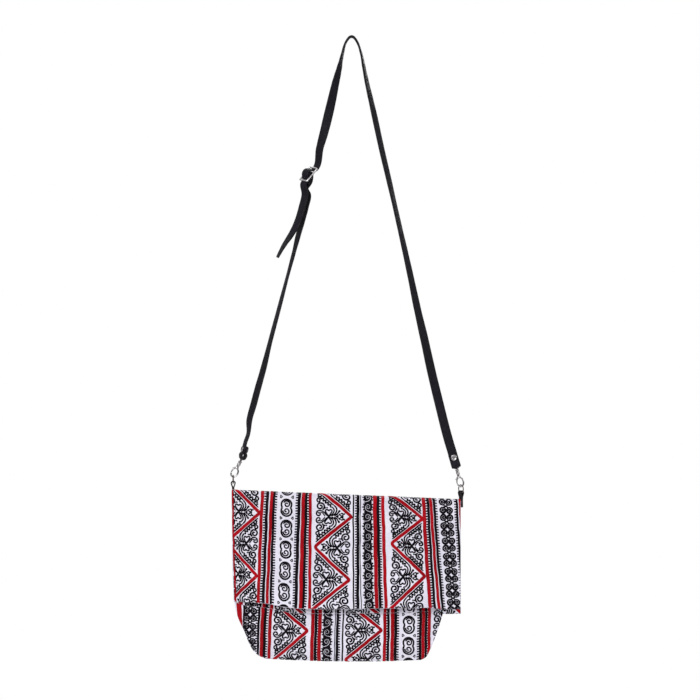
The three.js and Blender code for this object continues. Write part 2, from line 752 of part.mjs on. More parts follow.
for (const [name, strap] of [['strap_main', strapMain()], ['strap_lower', strapLower()]]) {
  const { cutters, basis } = endCutters(strap.fold);
  let solid = solidOf(strap.geometry);
  for (const cutter of cutters) {
    solid = solid.subtract(solidOf(cutter));
  }
  addMesh(bag, name, geometryOf(solid), leatherBlack);
  const side = name === 'strap_main' ? 'right' : 'left';
  const cap = addMesh(bag, `${side}_rivet`, rivet(), nickel);
  cap.applyMatrix4(new THREE.Matrix4().makeTranslation(0, 0, rivetUp).premultiply(basis));
}

const sliderMesh = addMesh(bag, 'strap_slider', slider(), nickel);
sliderMesh.applyMatrix4(new THREE.Matrix4()
  .makeBasis(sliderSide, sliderFront.clone().negate(), sliderDown.clone().negate())
  .setPosition(sliderCentre));

export default bag;
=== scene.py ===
import json
import math

import bpy
import numpy as np
from mathutils import Matrix, Vector


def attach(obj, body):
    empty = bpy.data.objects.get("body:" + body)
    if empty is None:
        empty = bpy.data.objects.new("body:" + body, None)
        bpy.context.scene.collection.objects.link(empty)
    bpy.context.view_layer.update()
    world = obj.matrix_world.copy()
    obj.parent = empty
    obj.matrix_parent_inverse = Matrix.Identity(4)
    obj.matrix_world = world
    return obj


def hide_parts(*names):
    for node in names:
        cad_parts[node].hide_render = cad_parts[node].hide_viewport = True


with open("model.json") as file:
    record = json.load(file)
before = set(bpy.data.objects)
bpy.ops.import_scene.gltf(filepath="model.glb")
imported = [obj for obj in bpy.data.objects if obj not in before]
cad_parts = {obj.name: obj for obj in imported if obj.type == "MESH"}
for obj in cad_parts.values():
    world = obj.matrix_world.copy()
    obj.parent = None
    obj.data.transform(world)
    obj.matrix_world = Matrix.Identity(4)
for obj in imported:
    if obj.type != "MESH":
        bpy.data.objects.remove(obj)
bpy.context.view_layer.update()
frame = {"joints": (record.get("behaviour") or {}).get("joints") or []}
print("bag: frame loaded")

# Lengths below are in millimetres, and every mesh is made in metres
mm = 0.001


# Meshes and tables

def makePiece(name, points, faces, material, body="root"):
    mesh = bpy.data.meshes.new(name)
    mesh.from_pydata((np.asarray(points, float) * mm).tolist(), [], [list(map(int, face)) for face in faces])
    mesh.update()
    mesh.shade_smooth()
    piece = bpy.data.objects.new(name, mesh)
    bpy.context.scene.collection.objects.link(piece)
    mesh.materials.append(material)
    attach(piece, body)
    return piece


def table(columns, *rows):
    # a dictionary for each row, without the columns that are None or past the row's end
    return [{name: value for name, value in zip(columns.split(), row) if value is not None} for row in rows]


def lookUp(rows, key, column, at):
    # smooth curve through a column's rows, flat beyond its two ends
    keys = np.array([row[key] for row in rows], float)
    values = np.array([row[column] for row in rows], float)
    steps = np.diff(values) / np.diff(keys)
    slopes = np.concatenate([[steps[0]], np.zeros(len(keys) - 2), [steps[-1]]])
    for index in range(1, len(keys) - 1):
        if steps[index - 1] * steps[index] > 0:
            slopes[index] = 2 * steps[index - 1] * steps[index] / (steps[index - 1] + steps[index])
    at = np.clip(np.asarray(at, float), keys[0], keys[-1])
    low = np.clip(np.searchsorted(keys, at, side="right") - 1, 0, len(keys) - 2)
    span = keys[low + 1] - keys[low]
    share = (at - keys[low]) / span
    rise = values[low + 1] - values[low]
    bend = (slopes[low] * span - rise) * (1 - share) + (rise - slopes[low + 1] * span) * share
    return values[low] + rise * share + share * (1 - share) * bend


def gridFaces(rows, columns, first=0, flip=False, closed=False):
    faces = []
    last = columns if closed else columns - 1
    for row in range(rows - 1):
        for column in range(last):
            a = first + row * columns + column
            b = first + row * columns + (column + 1) % columns
            quad = [a, b, b + columns, a + columns]
            faces.append(quad[::-1] if flip else quad)
    return faces


def unit(vectors):
    return vectors / np.maximum(np.linalg.norm(vectors, axis=-1, keepdims=True), 1e-9)


# Cloth: a flat tube of two panels, with its upper part folded over to the front
bagSizes = {
    "width": 298, "height": 220, "depth": 26, "top": -587.6, "left": -156.1, "topFall": 12.5,
    "bottomSag": 5.5, "bottomFall": 2, "bottomRise": 3, "flapIn": 3, "flapLength": 146, "stripLength": 7,
    "wall": 1.6, "gap": 0.3, "flapAir": 1, "mouthGape": 8, "foldGape": 4.4, "plane": 3, "seamLip": 5,
    "roundReach": 46, "seamRound": 1.9, "hemRound": 0.9,
}
seamHalf = (bagSizes["wall"] + bagSizes["gap"]) / 2
layerStep = bagSizes["wall"] + bagSizes["flapAir"]
bagRight = bagSizes["left"] + bagSizes["width"]

# How far each side comes in, as shares of the width, by height above the bottom
bodyEdge = table(
    "up left right",
    (0, 0.15, 0.175),
    (0.018, 0.116, 0.151),
    (0.065, 0.085, 0.133),
    (0.16, 0.055, 0.107),
    (0.254, 0.024, 0.085),
    (0.35, 0.011, 0.068),
    (0.585, 0.002, 0.036),
    (1, 0, 0),
)

# How full the body is, as a share of its depth, by height above the bottom
bodyFill = table(
    "up fill",
    (0, 0),
    (0.02, 0.42),
    (0.06, 0.78),
    (0.13, 0.98),
    (0.25, 0.95),
    (0.45, 0.68),
    (0.7, 0.42),
    (1, 0.24),
)

# The flap's lower edge, as shares of its length
flapHem = table(
    "across drop",
    (0, 0.995),
    (0.13, 0.986),
    (0.28, 1.018),
    (0.67, 0.985),
    (0.86, 0.966),
    (0.93, 0.98),
    (1, 0.976),
)

# How much longer the flap's inner layer is, as shares of the strip that shows below the outer one
stripHem = table(
    "across longer",
    (0, -0.2),
    (0.035, 0.55),
    (0.1, 0.8),
    (0.22, 1),
    (0.7, 1),
    (0.86, 0.9),
    (0.93, 0.95),
    (1, 0.85),
)

# Soft dents and swells of all the layers together
dents = table(
    "across down wide tall push",
    (0.2, 0.45, 0.16, 0.5, 0.05),
    (0.46, 0.3, 0.13, 0.4, -0.04),
    (0.74, 0.55, 0.15, 0.45, 0.06),
    (0.93, 0.85, 0.1, 0.3, -0.07),
    (0.1, 0.9, 0.12, 0.2, -0.06),
)

# Small waves in the cloth: lengths across and down, height and start
waves = table(
    "across down height start",
    (58, 210, 0.42, 0.4),
    (33, -150, 0.26, 2.1),
    (-21, 64, 0.14, 4.0),
    (300, 37, 0.2, 1.3),
    (13.5, 90, 0.07, 0.9),
)


def fullness(distance):
    share = np.clip((distance - bagSizes["seamLip"]) / bagSizes["roundReach"], 0, 1)
    return np.sin(share * math.pi / 2)


def bodyLeft(up):
    return bagSizes["left"] + bagSizes["width"] * lookUp(bodyEdge, "up", "left", up)


def bodyRight(up):
    return bagSizes["left"] + bagSizes["width"] * (1 - lookUp(bodyEdge, "up", "right", up))


def halfDepth(x, up):
    nearest = np.minimum(x - bodyLeft(up), bodyRight(up) - x)
    return seamHalf + fullness(nearest) * lookUp(bodyFill, "up", "fill", up) * bagSizes["depth"] / 2


def mouthSpan(x, down):
    nearest = np.minimum(x - bagSizes["left"], bagRight - x)
    gape = bagSizes["foldGape"] + (bagSizes["mouthGape"] - bagSizes["foldGape"]) * down
    return bagSizes["wall"] + bagSizes["gap"] + fullness(nearest) * gape


def topLine(across):
    return bagSizes["top"] - bagSizes["topFall"] * across


def bottomLine(across):
    sag = bagSizes["bottomSag"] * (1 - (2 * across - 1) ** 2) + bagSizes["bottomFall"] * across
    return bagSizes["top"] - bagSizes["height"] + bagSizes["bottomRise"] - sag


def foldRadius(x):
    return halfDepth(x, 1) + (layerStep + mouthSpan(x, 0)) / 2


def foldLine(across):
    return topLine(across) - foldRadius(bagSizes["left"] + bagSizes["width"] * across) - bagSizes["wall"] / 2


def hemLine(across, isBack):
    hem = topLine(across) - bagSizes["flapLength"] * lookUp(flapHem, "across", "drop", across)
    if isBack:
        return hem
    return hem - bagSizes["stripLength"] * lookUp(stripHem, "across", "longer", across)


def dentAt(x, z):
    across = (x - bagSizes["left"]) / bagSizes["width"]
    down = (bagSizes["top"] - z) / bagSizes["height"]
    push = 0
    for dent in dents:
        far = ((across - dent["across"]) / dent["wide"]) ** 2 + ((down - dent["down"]) / dent["tall"]) ** 2
        push = push + dent["push"] * bagSizes["depth"] * np.exp(-far)
    for wave in waves:
        phase = 2 * math.pi * (x / wave["across"] + z / wave["down"]) + wave["start"]
        push = push + wave["height"] * np.sin(phase)
    return push


def clothMiddle(across, along, isBack):
    # up the body (0 to 1), over the fold (1 to 2) and down the flap (2 to 3)
    x = bagSizes["left"] + bagSizes["width"] * across
    fold = foldLine(across)
    up = np.clip(along, 0, 1)
    bodyX = bodyLeft(up) + (bodyRight(up) - bodyLeft(up)) * across
    bodyAcross = (bodyX - bagSizes["left"]) / bagSizes["width"]
    bodyZ = bottomLine(bodyAcross) + (foldLine(bodyAcross) - bottomLine(bodyAcross)) * up
    bodyY = bagSizes["plane"] + halfDepth(bodyX, up) * (1 if isBack else -1)
    angle = (np.clip(along, 1, 2) - 1) * math.pi
    if isBack:
        centre = bagSizes["plane"] - (layerStep + mouthSpan(x, 0)) / 2
        radius = foldRadius(x)
    else:
        centre = bagSizes["plane"] - halfDepth(x, 1) - layerStep / 2
        radius = layerStep / 2
    foldY = centre + radius * np.cos(angle)
    foldZ = fold + radius * np.sin(angle)
    down = np.clip(along, 2, 3) - 2
    flapZ = fold + (hemLine(across, isBack) - fold) * down
    bottom = bottomLine(across)
    flapY = bagSizes["plane"] - halfDepth(x, (flapZ - bottom) / (fold - bottom)) - layerStep
    flapY = flapY - (mouthSpan(x, down) if isBack else 0)
    onBody = along < 1
    onFlap = along > 2
    x = np.where(onBody, bodyX, x + bagSizes["flapIn"] * down ** 1.5 * (1 - across) ** 6)
    y = np.where(onBody, bodyY, np.where(onFlap, flapY, foldY))
    z = np.where(onBody, bodyZ, np.where(onFlap, flapZ, foldZ))
    return np.stack([x, y + dentAt(x, z), z], -1)


def clothNormal(across, along, isBack):
    # towards the outside of the tube
    step = 2e-4
    acrossLow = np.clip(across, 0, 1 - step)
    alongLow = np.clip(along, 0, 3 - step)
    base = clothMiddle(acrossLow, alongLow, isBack)
    right = clothMiddle(acrossLow + step, alongLow, isBack) - base
    onward = clothMiddle(acrossLow, alongLow + step, isBack) - base
    return unit(np.cross(right, onward)) * (-1 if isBack else 1)


def rimRound(across, along):
    # the outer face comes in to the seam along the sides and the bottom
    up = np.clip(along, 0, 1)
    width = np.where(along < 1, bodyRight(up) - bodyLeft(up), bagSizes["width"])
    side = np.minimum(across, 1 - across) * width
    nearest = np.minimum(side, np.where(along < 1, along * bagSizes["height"], 1e3))
    share = np.clip(nearest / bagSizes["seamRound"], 0, 1)
    return np.sqrt(1 - (1 - share) ** 2) * 0.9 + 0.1


def clothFace(across, along, isBack, lift, isInside=False):
    across = np.asarray(across, float)
    along = np.asarray(along, float)
    middle = clothMiddle(across, along, isBack)
    normal = clothNormal(across, along, isBack)
    wall = bagSizes["wall"]
    if isInside:
        return middle - normal * (wall / 2 + lift)[..., None]
    return middle + normal * (wall * rimRound(across, along) - wall / 2 + lift)[..., None]


def clothShares(distances, count, total):
    # even shares with a few close rows beside both ends
    start = [distance / total for distance in distances]
    inner = np.linspace(start[-1], 1 - start[-1], count)
    return np.concatenate([start[:-1], inner, [1 - share for share in start[:-1]][::-1]])


def clothPanel(name, isBack, material):
    rim = [0, 0.25, 0.6, 1.1, 1.9, 3.4]
    across = clothShares(rim, 130, bagSizes["width"])
    bodyRows = np.concatenate([[0, 0.0012, 0.003, 0.0055, 0.009], np.linspace(0.015, 0.985, 88)])
    foldRows = 1 + np.linspace(0, 1, 23)
    hem = [1 - distance / bagSizes["flapLength"] for distance in [0.9, 0.45, 0.15, 0]]
    flapRows = 2 + np.concatenate([np.linspace(0.012, 0.985, 66), hem])
    along = np.concatenate([bodyRows, foldRows, flapRows])
    acrossGrid, alongGrid = np.meshgrid(across, along)
    toHem = (3 - alongGrid) * bagSizes["flapLength"] / bagSizes["hemRound"]
    hemShare = np.clip(toHem, 0, 1)
    squeeze = (1 - np.sqrt(1 - (1 - hemShare) ** 2)) * bagSizes["wall"] * 0.42
    outer = clothFace(acrossGrid, alongGrid, isBack, -squeeze)
    inner = clothFace(acrossGrid, alongGrid, isBack, -squeeze, isInside=True)
    rows, columns = acrossGrid.shape
    count = rows * columns
    points = np.concatenate([outer.reshape(-1, 3), inner.reshape(-1, 3)])
    faces = gridFaces(rows, columns, 0, isBack) + gridFaces(rows, columns, count, not isBack)
    rimLoop = list(range(columns))
    rimLoop += [row * columns + columns - 1 for row in range(1, rows)]
    rimLoop += [(rows - 1) * columns + column for column in range(columns - 2, -1, -1)]
    rimLoop += [row * columns for row in range(rows - 2, 0, -1)]
    for index, here in enumerate(rimLoop):
        onward = rimLoop[(index + 1) % len(rimLoop)]
        quad = [onward, here, count + here, count + onward]
        faces.append(quad[::-1] if isBack else quad)
    piece = makePiece(name, points, faces, material)
    layer = piece.data.uv_layers.new(name="cloth")
    flat = np.stack([acrossGrid * bagSizes["width"] * mm, alongGrid * bagSizes["height"] * 0.8 * mm], -1)
    flat = np.tile(flat.reshape(-1, 2), (2, 1))
    corners = np.zeros(len(piece.data.loops), int)
    piece.data.loops.foreach_get("vertex_index", corners)
    layer.data.foreach_set("uv", flat[corners].ravel())
    return piece


# Leather strap, with its places below the crown, across, towards the back, and its turn from the front
strapSizes = {
    "width": 12, "thick": 2.6, "edge": 1.15, "dome": 0.16, "crownHalf": 8, "crownRise": 7, "gap": 0.3,
    "rivetUp": 10, "rivetCap": 4, "foldUp": 14.5, "step": 1.4,
}
sliderSizes = {
    "bar": 1.2, "pitch": 11, "centre": (-56, 0, -177.3), "side": (0.609, -0.769, -0.181),
    "down": (-0.591, -0.289, -0.752),
}
hookSizes = {
    "eyeWire": 0.9, "eyeWidth": 8, "eyeDrop": 4.9, "postRadius": 1, "headRadius": 1.7, "headHeight": 1.2,
    "barrelRadius": 2.5, "barrelLength": 6.2, "length": 30, "width": 10.4, "oval": 14.3, "wire": 1.05,
    "leverPin": 0.5, "leverHalf": 0.6, "knobReach": 2.9, "gap": 0.3,
}
rightStrand = table(
    "down across back turn",
    (20, 12.3, 0, 83),
    (40, 16.3, 0, 75),
    (60, 20.3, 0, 68),
    (81, 25.1, 0, 62),
    (102, 29.8, 0, 57),
    (144, 38.9, 0, 58),
    (185, 48.5, 0, 60),
    (216, 55.6, 0, 65),
    (248, 62.8, 0, 63),
    (279, 69.8, 0, 58),
    (310, 76.6, 0, 53),
    (352, 85.4, 0, 43),
    (393, 94.8, 0, 30),
    (435, 104, 0, 20),
    (476, 113.9, 0, 13),
)
leftStrand = table(
    "down across back turn",
    (20, -11.6, 0, 83),
    (29, -13.7, 0, 77),
    (40, -16.1, 0, 63),
    (50, -18.6, 0, 52),
    (60, -21.1, 0, 42),
    (71, -23.5, 0, 33),
    (81, -25.7, 0, 24),
    (102, -30.6, 0.3, 3),
    (123, -35.8, 1, -20),
    (143, -41.3, 2.2, -38),
)
tailStrand = table(
    "down across back turn",
    (204, -60.6, -3.4, -46),
    (220, -64.2, -3.8, -46),
    (237, -69.3, -4, -48),
    (248, -74, -4, -51),
    (258, -79.7, -4, -56),
    (268, -86.5, -3.8, -65),
    (279, -92.8, -3.6, -74),
    (286, -96.4, -3.5, -79),
)
lowerStrand = table(
    "down across back turn",
    (204, -57, 1.8, -49),
    (220, -59.8, 1.4, -52),
    (237, -64, 1, -56),
    (258, -69.7, 0.6, -62),
    (279, -75, 0.3, -72),
    (310, -83.3, 0, -77),
    (351, -94.1, 0, -71),
    (393, -105.3, 0, -68),
    (435, -115.9, 0, -54),
    (455, -121.6, 0, -50),
    (476, -127.2, 0, -49),
    (497, -132.9, 0, -55),
)

# Where the two ends hang: lean and turn of the strap's end, of the hook, of the ring and of the tab
ends = [
    {"name": "left", "holeAcross": -154, "holeUp": 8.6, "hookLean": 27.5, "strapLean": 14.5,
     "strapTurn": -72, "ringTurn": 0, "tabTurn": 0, "tabTailAndShade": 0, "loopOpen": 1.1},
    # the right tab's tail reaches 11 mm further down the bag's side: it stands partly for the tab's sewn
    # tail and partly for painted shade beside the side seam
    {"name": "right", "holeAcross": 142.2, "holeUp": 8.4, "hookLean": -14.5, "strapLean": -16.5,
     "strapTurn": 4, "ringTurn": 32, "tabTurn": 34, "tabTailAndShade": 11, "loopOpen": 0},
]
jointPlaces = {joint["name"]: np.array(joint["pos_m"]) / mm for joint in frame["joints"]}


def widthDirection(downward, turn):
    level = unit(np.array([-downward[2], 0, downward[0]]))
    angle = math.radians(turn)
    return level * math.cos(angle) + np.array([0, math.sin(angle), 0])


def strandPlaces(strand):
    spots = [np.array([row["across"], row["back"], -row["down"]], float) for row in strand]
    places = []
    for index, row in enumerate(strand):
        onward = spots[min(index + 1, len(spots) - 1)] - spots[max(index - 1, 0)]
        places.append((spots[index], widthDirection(onward, row["turn"])))
    return places


def endFrame(end):
    # the strap end's own directions, from the bar that it folds round
    lean = math.radians(end["strapLean"])
    downward = np.array([-math.sin(lean), 0, -math.cos(lean)])
    side = widthDirection(downward, end["strapTurn"])
    return jointPlaces[end["name"] + "_swivel"], downward, side, unit(np.cross(downward, side))


def endFoldPlaces(end):
    eyeBar, downward, side, out = endFrame(end)
    turnRadius = hookSizes["eyeWire"] + strapSizes["gap"] + strapSizes["thick"] / 2
    half = (strapSizes["thick"] + strapSizes["gap"]) / 2
    rivetUp = strapSizes["rivetUp"]
    rows = [(-30, half * 0.4), (-20, half), (-rivetUp - 3, half), (-rivetUp, half),
            (-rivetUp + strapSizes["rivetCap"] + strapSizes["gap"], half),
            (-turnRadius * 1.5, half + 0.45 + end["loopOpen"] * 0.8),
            (-turnRadius * 0.7, turnRadius + end["loopOpen"] * 0.6)]
    back = [(down, -off) for down, off in rows[:1:-1]]
    for step in range(9):
        angle = math.pi * step / 8
        rows.append((turnRadius * math.sin(angle), turnRadius * math.cos(angle)))
    rows += back + [(-strapSizes["foldUp"], -half)]
    return [(eyeBar + downward * down + out * off, side) for down, off in rows]


def crownPlaces():
    shares = [(1, -1), (0.62, -0.36), (0.34, -0.06), (0.13, 0), (-0.13, 0),
              (-0.34, -0.06), (-0.62, -0.36), (-1, -1)]
    places = []
    for across, up in shares:
        settle = 0 if abs(across) < 0.2 else 0.35
        rise = strapSizes["thick"] / 2 + up * strapSizes["crownRise"] * 1.15 - settle
        places.append((np.array([across * strapSizes["crownHalf"], 0, rise]), np.array([0, 1.0, 0])))
    return places


sliderSide = np.array(sliderSizes["side"])
sliderDown = np.array(sliderSizes["down"])
sliderFront = unit(np.cross(sliderDown, sliderSide))
barClear = sliderSizes["bar"] + strapSizes["gap"] + strapSizes["thick"] / 2


def sliderPlaces(rows):
    centre = np.array(sliderSizes["centre"], float)
    return [(centre + sliderDown * down + sliderFront * off, sliderSide) for down, off in rows]


def sliderWeave():
    # behind the top bar, over the middle bar and behind the bottom bar
    overClear = barClear + strapSizes["thick"] + strapSizes["gap"]
    pitch = sliderSizes["pitch"]
    lower = [(0, overClear), (2.6, overClear * 0.9), (4.7, overClear * 0.6), (6.6, overClear * 0.12),
             (8.3, -barClear * 0.58), (pitch - 1, -barClear - 0.02), (pitch + 1.4, -barClear - 0.15)]
    upper = [(-down, off) for down, off in lower[:0:-1]]
    return sliderPlaces(upper + lower)


def sliderLoop():
    # up behind the bottom bar, round the middle bar, and back down on itself
    pitch = sliderSizes["pitch"]
    back = barClear + 2 * (strapSizes["thick"] + strapSizes["gap"]) + 0.6
    rows = [(pitch + 4, -back - 0.3), (pitch + 1, -back - 0.1), (8, -back + 0.2),
            (5.2, -back + 1.2), (2.3, -6.1)]
    for step in range(9):
        angle = math.radians(233 - 232 * step / 8)
        rows.append((math.cos(angle) * barClear, math.sin(angle) * barClear))
    return sliderPlaces(rows + [(3.5, -1.2), (5.1, -4.1), (8, -6.2), (11, -6.5)])


def smoothPlaces(places, step):
    # one smooth line through the places, with a point at each step
    spots = np.array([at for at, side in places])
    sides = np.array([side for at, side in places])
    spans = np.linalg.norm(np.diff(spots, axis=0), axis=1)
    steps = np.diff(spots, axis=0) / spans[:, None]
    weighted = steps[:-1] * spans[1:, None] + steps[1:] * spans[:-1, None]
    middle = weighted / (spans[:-1] + spans[1:])[:, None]
    slopes = np.concatenate([steps[:1], middle, steps[-1:]])
    line, turns = [], []
    for index, span in enumerate(spans):
        count = max(2, int(round(span / step)) + 1)
        share = np.linspace(0, 1, count, endpoint=False)[:, None]
        square, cube = share ** 2, share ** 3
        line.append((2 * cube - 3 * square + 1) * spots[index] + (3 * square - 2 * cube) * spots[index + 1]
                    + (cube - 2 * square + share) * span * slopes[index]
                    + (cube - square) * span * slopes[index + 1])
        ease = 3 * square - 2 * cube
        turns.append(sides[index] * (1 - ease) + sides[index + 1] * ease)
    line.append(spots[-1:])
    turns.append(sides[-1:])
    return np.concatenate(line), unit(np.concatenate(turns))


def bandSection(width, thick, edge, dome, perCorner=5):
    # rounded rectangle with slightly domed faces
    section = []
    for cornerX, cornerY, start in [(1, 1, 0), (-1, 1, 90), (-1, -1, 180), (1, -1, 270)]:
        for step in range(perCorner + 1):
            angle = math.radians(start + 90 * step / perCorner)
            section.append((cornerX * (width / 2 - edge) + edge * math.cos(angle),
                            cornerY * (thick / 2 - edge) + edge * math.sin(angle)))
        if cornerX * cornerY > 0:
            flatY, faceY = cornerY * (thick / 2), cornerY * (thick / 2 + dome)
            section += [(cornerX * share * (width / 2 - edge), flatY + (faceY - flatY) * (1 - share ** 2))
                        for share in (0.6, 0.2, -0.2, -0.6)]
    return np.array(section)


def bandMesh(places, step, section):
    line, sides = smoothPlaces(places, step)
    onward = unit(np.gradient(line, axis=0))
    faceOut = unit(np.cross(onward, sides))
    sides = np.cross(faceOut, onward)
    points = (line[:, None, :] + sides[:, None, :] * section[None, :, :1]
              + faceOut[:, None, :] * section[None, :, 1:])
    rows, columns = points.shape[:2]
    faces = gridFaces(rows, columns, closed=True)
    faces += [list(range(columns))[::-1], [(rows - 1) * columns + column for column in range(columns)]]
    return points.reshape(-1, 3), faces


def addBandMap(piece, section):
    # across and along the band, in metres, for the wear and the painted highlight at its edges
    corners = np.zeros(len(piece.data.loops), int)
    piece.data.loops.foreach_get("vertex_index", corners)
    across = section[corners % len(section), 0]
    along = corners // len(section) * strapSizes["step"]
    flat = np.stack([across, along], -1) * mm
    piece.data.uv_layers.new(name="band").data.foreach_set("uv", flat.ravel())


# Small hardware, made in local frames: X across, Y back, Z up

def turnedMesh(profile, sides=32):
    # radius and height pairs turned about the local Z, from the axis and back to it
    points = []
    for radius, height in profile:
        for side in range(sides):
            angle = 2 * math.pi * side / sides
            points.append((radius * math.cos(angle), radius * math.sin(angle), height))
    faces = gridFaces(len(profile), sides, closed=True)
    faces += [list(range(sides))[::-1], [(len(profile) - 1) * sides + side for side in range(sides)]]
    return np.array(points), faces


def wireMesh(path, halfWidth, halfDepth, closed=False, sides=16):
    # wire along a flat path in the local X and Z
    path = np.array(path, float)
    onward = np.roll(path, -1, axis=0) - np.roll(path, 1, axis=0)
    if not closed:
        onward[0] = path[1] - path[0]
        onward[-1] = path[-1] - path[-2]
    onward = unit(onward)
    angles = 2 * math.pi * np.arange(sides) / sides
    out = halfWidth * np.cos(angles)
    points = np.stack([path[:, :1] - onward[:, 1:] * out,
                       np.tile(halfDepth * np.sin(angles), (len(path), 1)),
                       path[:, 1:] + onward[:, :1] * out], -1)
    rows = len(path)
    faces = gridFaces(rows, sides, closed=True)
    if closed:
        last = (rows - 1) * sides
        nextSides = [(side + 1) % sides for side in range(sides)]
        faces += [[last + side, last + after, after, side] for side, after in enumerate(nextSides)]
    else:
        faces += [list(range(sides))[::-1], [(rows - 1) * sides + side for side in range(sides)]]
    return points.reshape(-1, 3), faces


def boxMesh(centre, size):
    points = [[centre[0] + x * size[0] / 2, centre[1] + y * size[1] / 2, centre[2] + z * size[2] / 2]
              for x in (-1, 1) for y in (-1, 1) for z in (-1, 1)]
    faces = [[0, 1, 3, 2], [4, 6, 7, 5], [0, 4, 5, 1], [2, 3, 7, 6], [0, 2, 6, 4], [1, 5, 7, 3]]
    return np.array(points), faces


def ellipsePath(centre, halves, fromDegrees, toDegrees, steps):
    angles = np.radians(np.linspace(fromDegrees, toDegrees, steps + 1))
    return [(centre[0] + halves[0] * math.cos(angle), centre[1] + halves[1] * math.sin(angle))
            for angle in angles]


def joinMeshes(parts):
    points, faces, first = [], [], 0
    for partPoints, partFaces in parts:
        points.append(partPoints)
        faces += [[first + corner for corner in face] for face in partFaces]
        first += len(partPoints)
    return np.concatenate(points), faces


def turnAbout(axis, degrees):
    return np.array(Matrix.Rotation(math.radians(degrees), 3, axis))


def placed(part, place, axes):
    points, faces = part
    return points @ np.asarray(axes).T + np.asarray(place), faces


def applyModifiers(piece):
    graph = bpy.context.evaluated_depsgraph_get()
    finished = bpy.data.meshes.new_from_object(piece.evaluated_get(graph))
    materials = list(piece.data.materials)
    piece.modifiers.clear()
    piece.data = finished
    finished.materials.clear()
    for material in materials:
        finished.materials.append(material)
    finished.shade_smooth()
    return piece


def castPiece(name, parts, place, axes, material, body="root", voxel=0.2, smoothings=3):
    # overlapping shapes fused into one casting with soft inner corners
    points, faces = placed(joinMeshes(parts), place, axes)
    piece = makePiece(name, points, faces, material, body)
    remesh = piece.modifiers.new("fuse", "REMESH")
    remesh.mode = "VOXEL"
    remesh.voxel_size = voxel * mm
    relax = piece.modifiers.new("relax", "SMOOTH")
    relax.factor = 0.5
    relax.iterations = smoothings
    return applyModifiers(piece)


hookHeights = {
    "post": -hookSizes["eyeDrop"],
    "barrelTop": -hookSizes["eyeDrop"] - hookSizes["eyeWire"] - hookSizes["gap"],
    "ovalHalfWidth": hookSizes["width"] / 2 - hookSizes["wire"],
    "ovalHalfHeight": hookSizes["oval"] / 2 - hookSizes["wire"],
}
hookHeights["headTop"] = hookHeights["barrelTop"] - 2 - hookSizes["gap"]
hookHeights["headBottom"] = hookHeights["headTop"] - hookSizes["headHeight"]
hookHeights["barrelBottom"] = hookHeights["barrelTop"] - hookSizes["barrelLength"]
hookHeights["ovalCentre"] = -hookSizes["length"] + hookSizes["wire"] + hookHeights["ovalHalfHeight"]
hookHeights["pivotX"] = -hookHeights["ovalHalfWidth"] * 0.6
hookHeights["pivotZ"] = hookHeights["ovalCentre"] + hookHeights["ovalHalfHeight"]


def swivelEye(end, material):
    wire, drop, quarter = hookSizes["eyeWire"], hookSizes["eyeDrop"], hookSizes["eyeWidth"] / 4
    half = hookSizes["eyeWidth"] / 2 - wire
    corner = half / 3
    path = ellipsePath((half - corner, -corner), (corner, corner), 0, 90, 6)
    path += ellipsePath((corner - half, -corner), (corner, corner), 90, 180, 6)
    path += ellipsePath((0, quarter - drop), (half, quarter), 180, 360, 20)
    pin, head = hookSizes["postRadius"], hookSizes["headRadius"]
    foot, headTop = hookHeights["post"], hookHeights["headTop"]
    post = [(head, hookHeights["headBottom"]), (head, headTop), (pin, headTop), (pin, foot)]
    collar = [(pin, foot - wire * 0.6), (wire * 1.7, foot - wire * 0.5),
              (wire * 1.7, foot + wire * 0.3), (wire * 0.8, foot + wire)]
    parts = [wireMesh(path, wire, wire, True), turnedMesh(post), turnedMesh(collar)]
    axes = turnAbout("Y", end["hookLean"]) @ turnAbout("Z", end["strapTurn"])
    place = jointPlaces[end["name"] + "_swivel"]
    piece = castPiece(end["name"] + "_eye", parts, place, axes, material, voxel=0.17)
    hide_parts(end["name"] + "_swivel_eye")


def cut(piece, parts, place, axes):
    points, faces = placed(joinMeshes(parts), place, axes)
    cutter = makePiece(piece.name + "_cutter", points, faces, piece.data.materials[0])
    knife = piece.modifiers.new("cut", "BOOLEAN")
    knife.operation = "DIFFERENCE"
    knife.solver = "EXACT"
    knife.object = cutter
    applyModifiers(piece)
    bpy.data.objects.remove(cutter)
    return piece


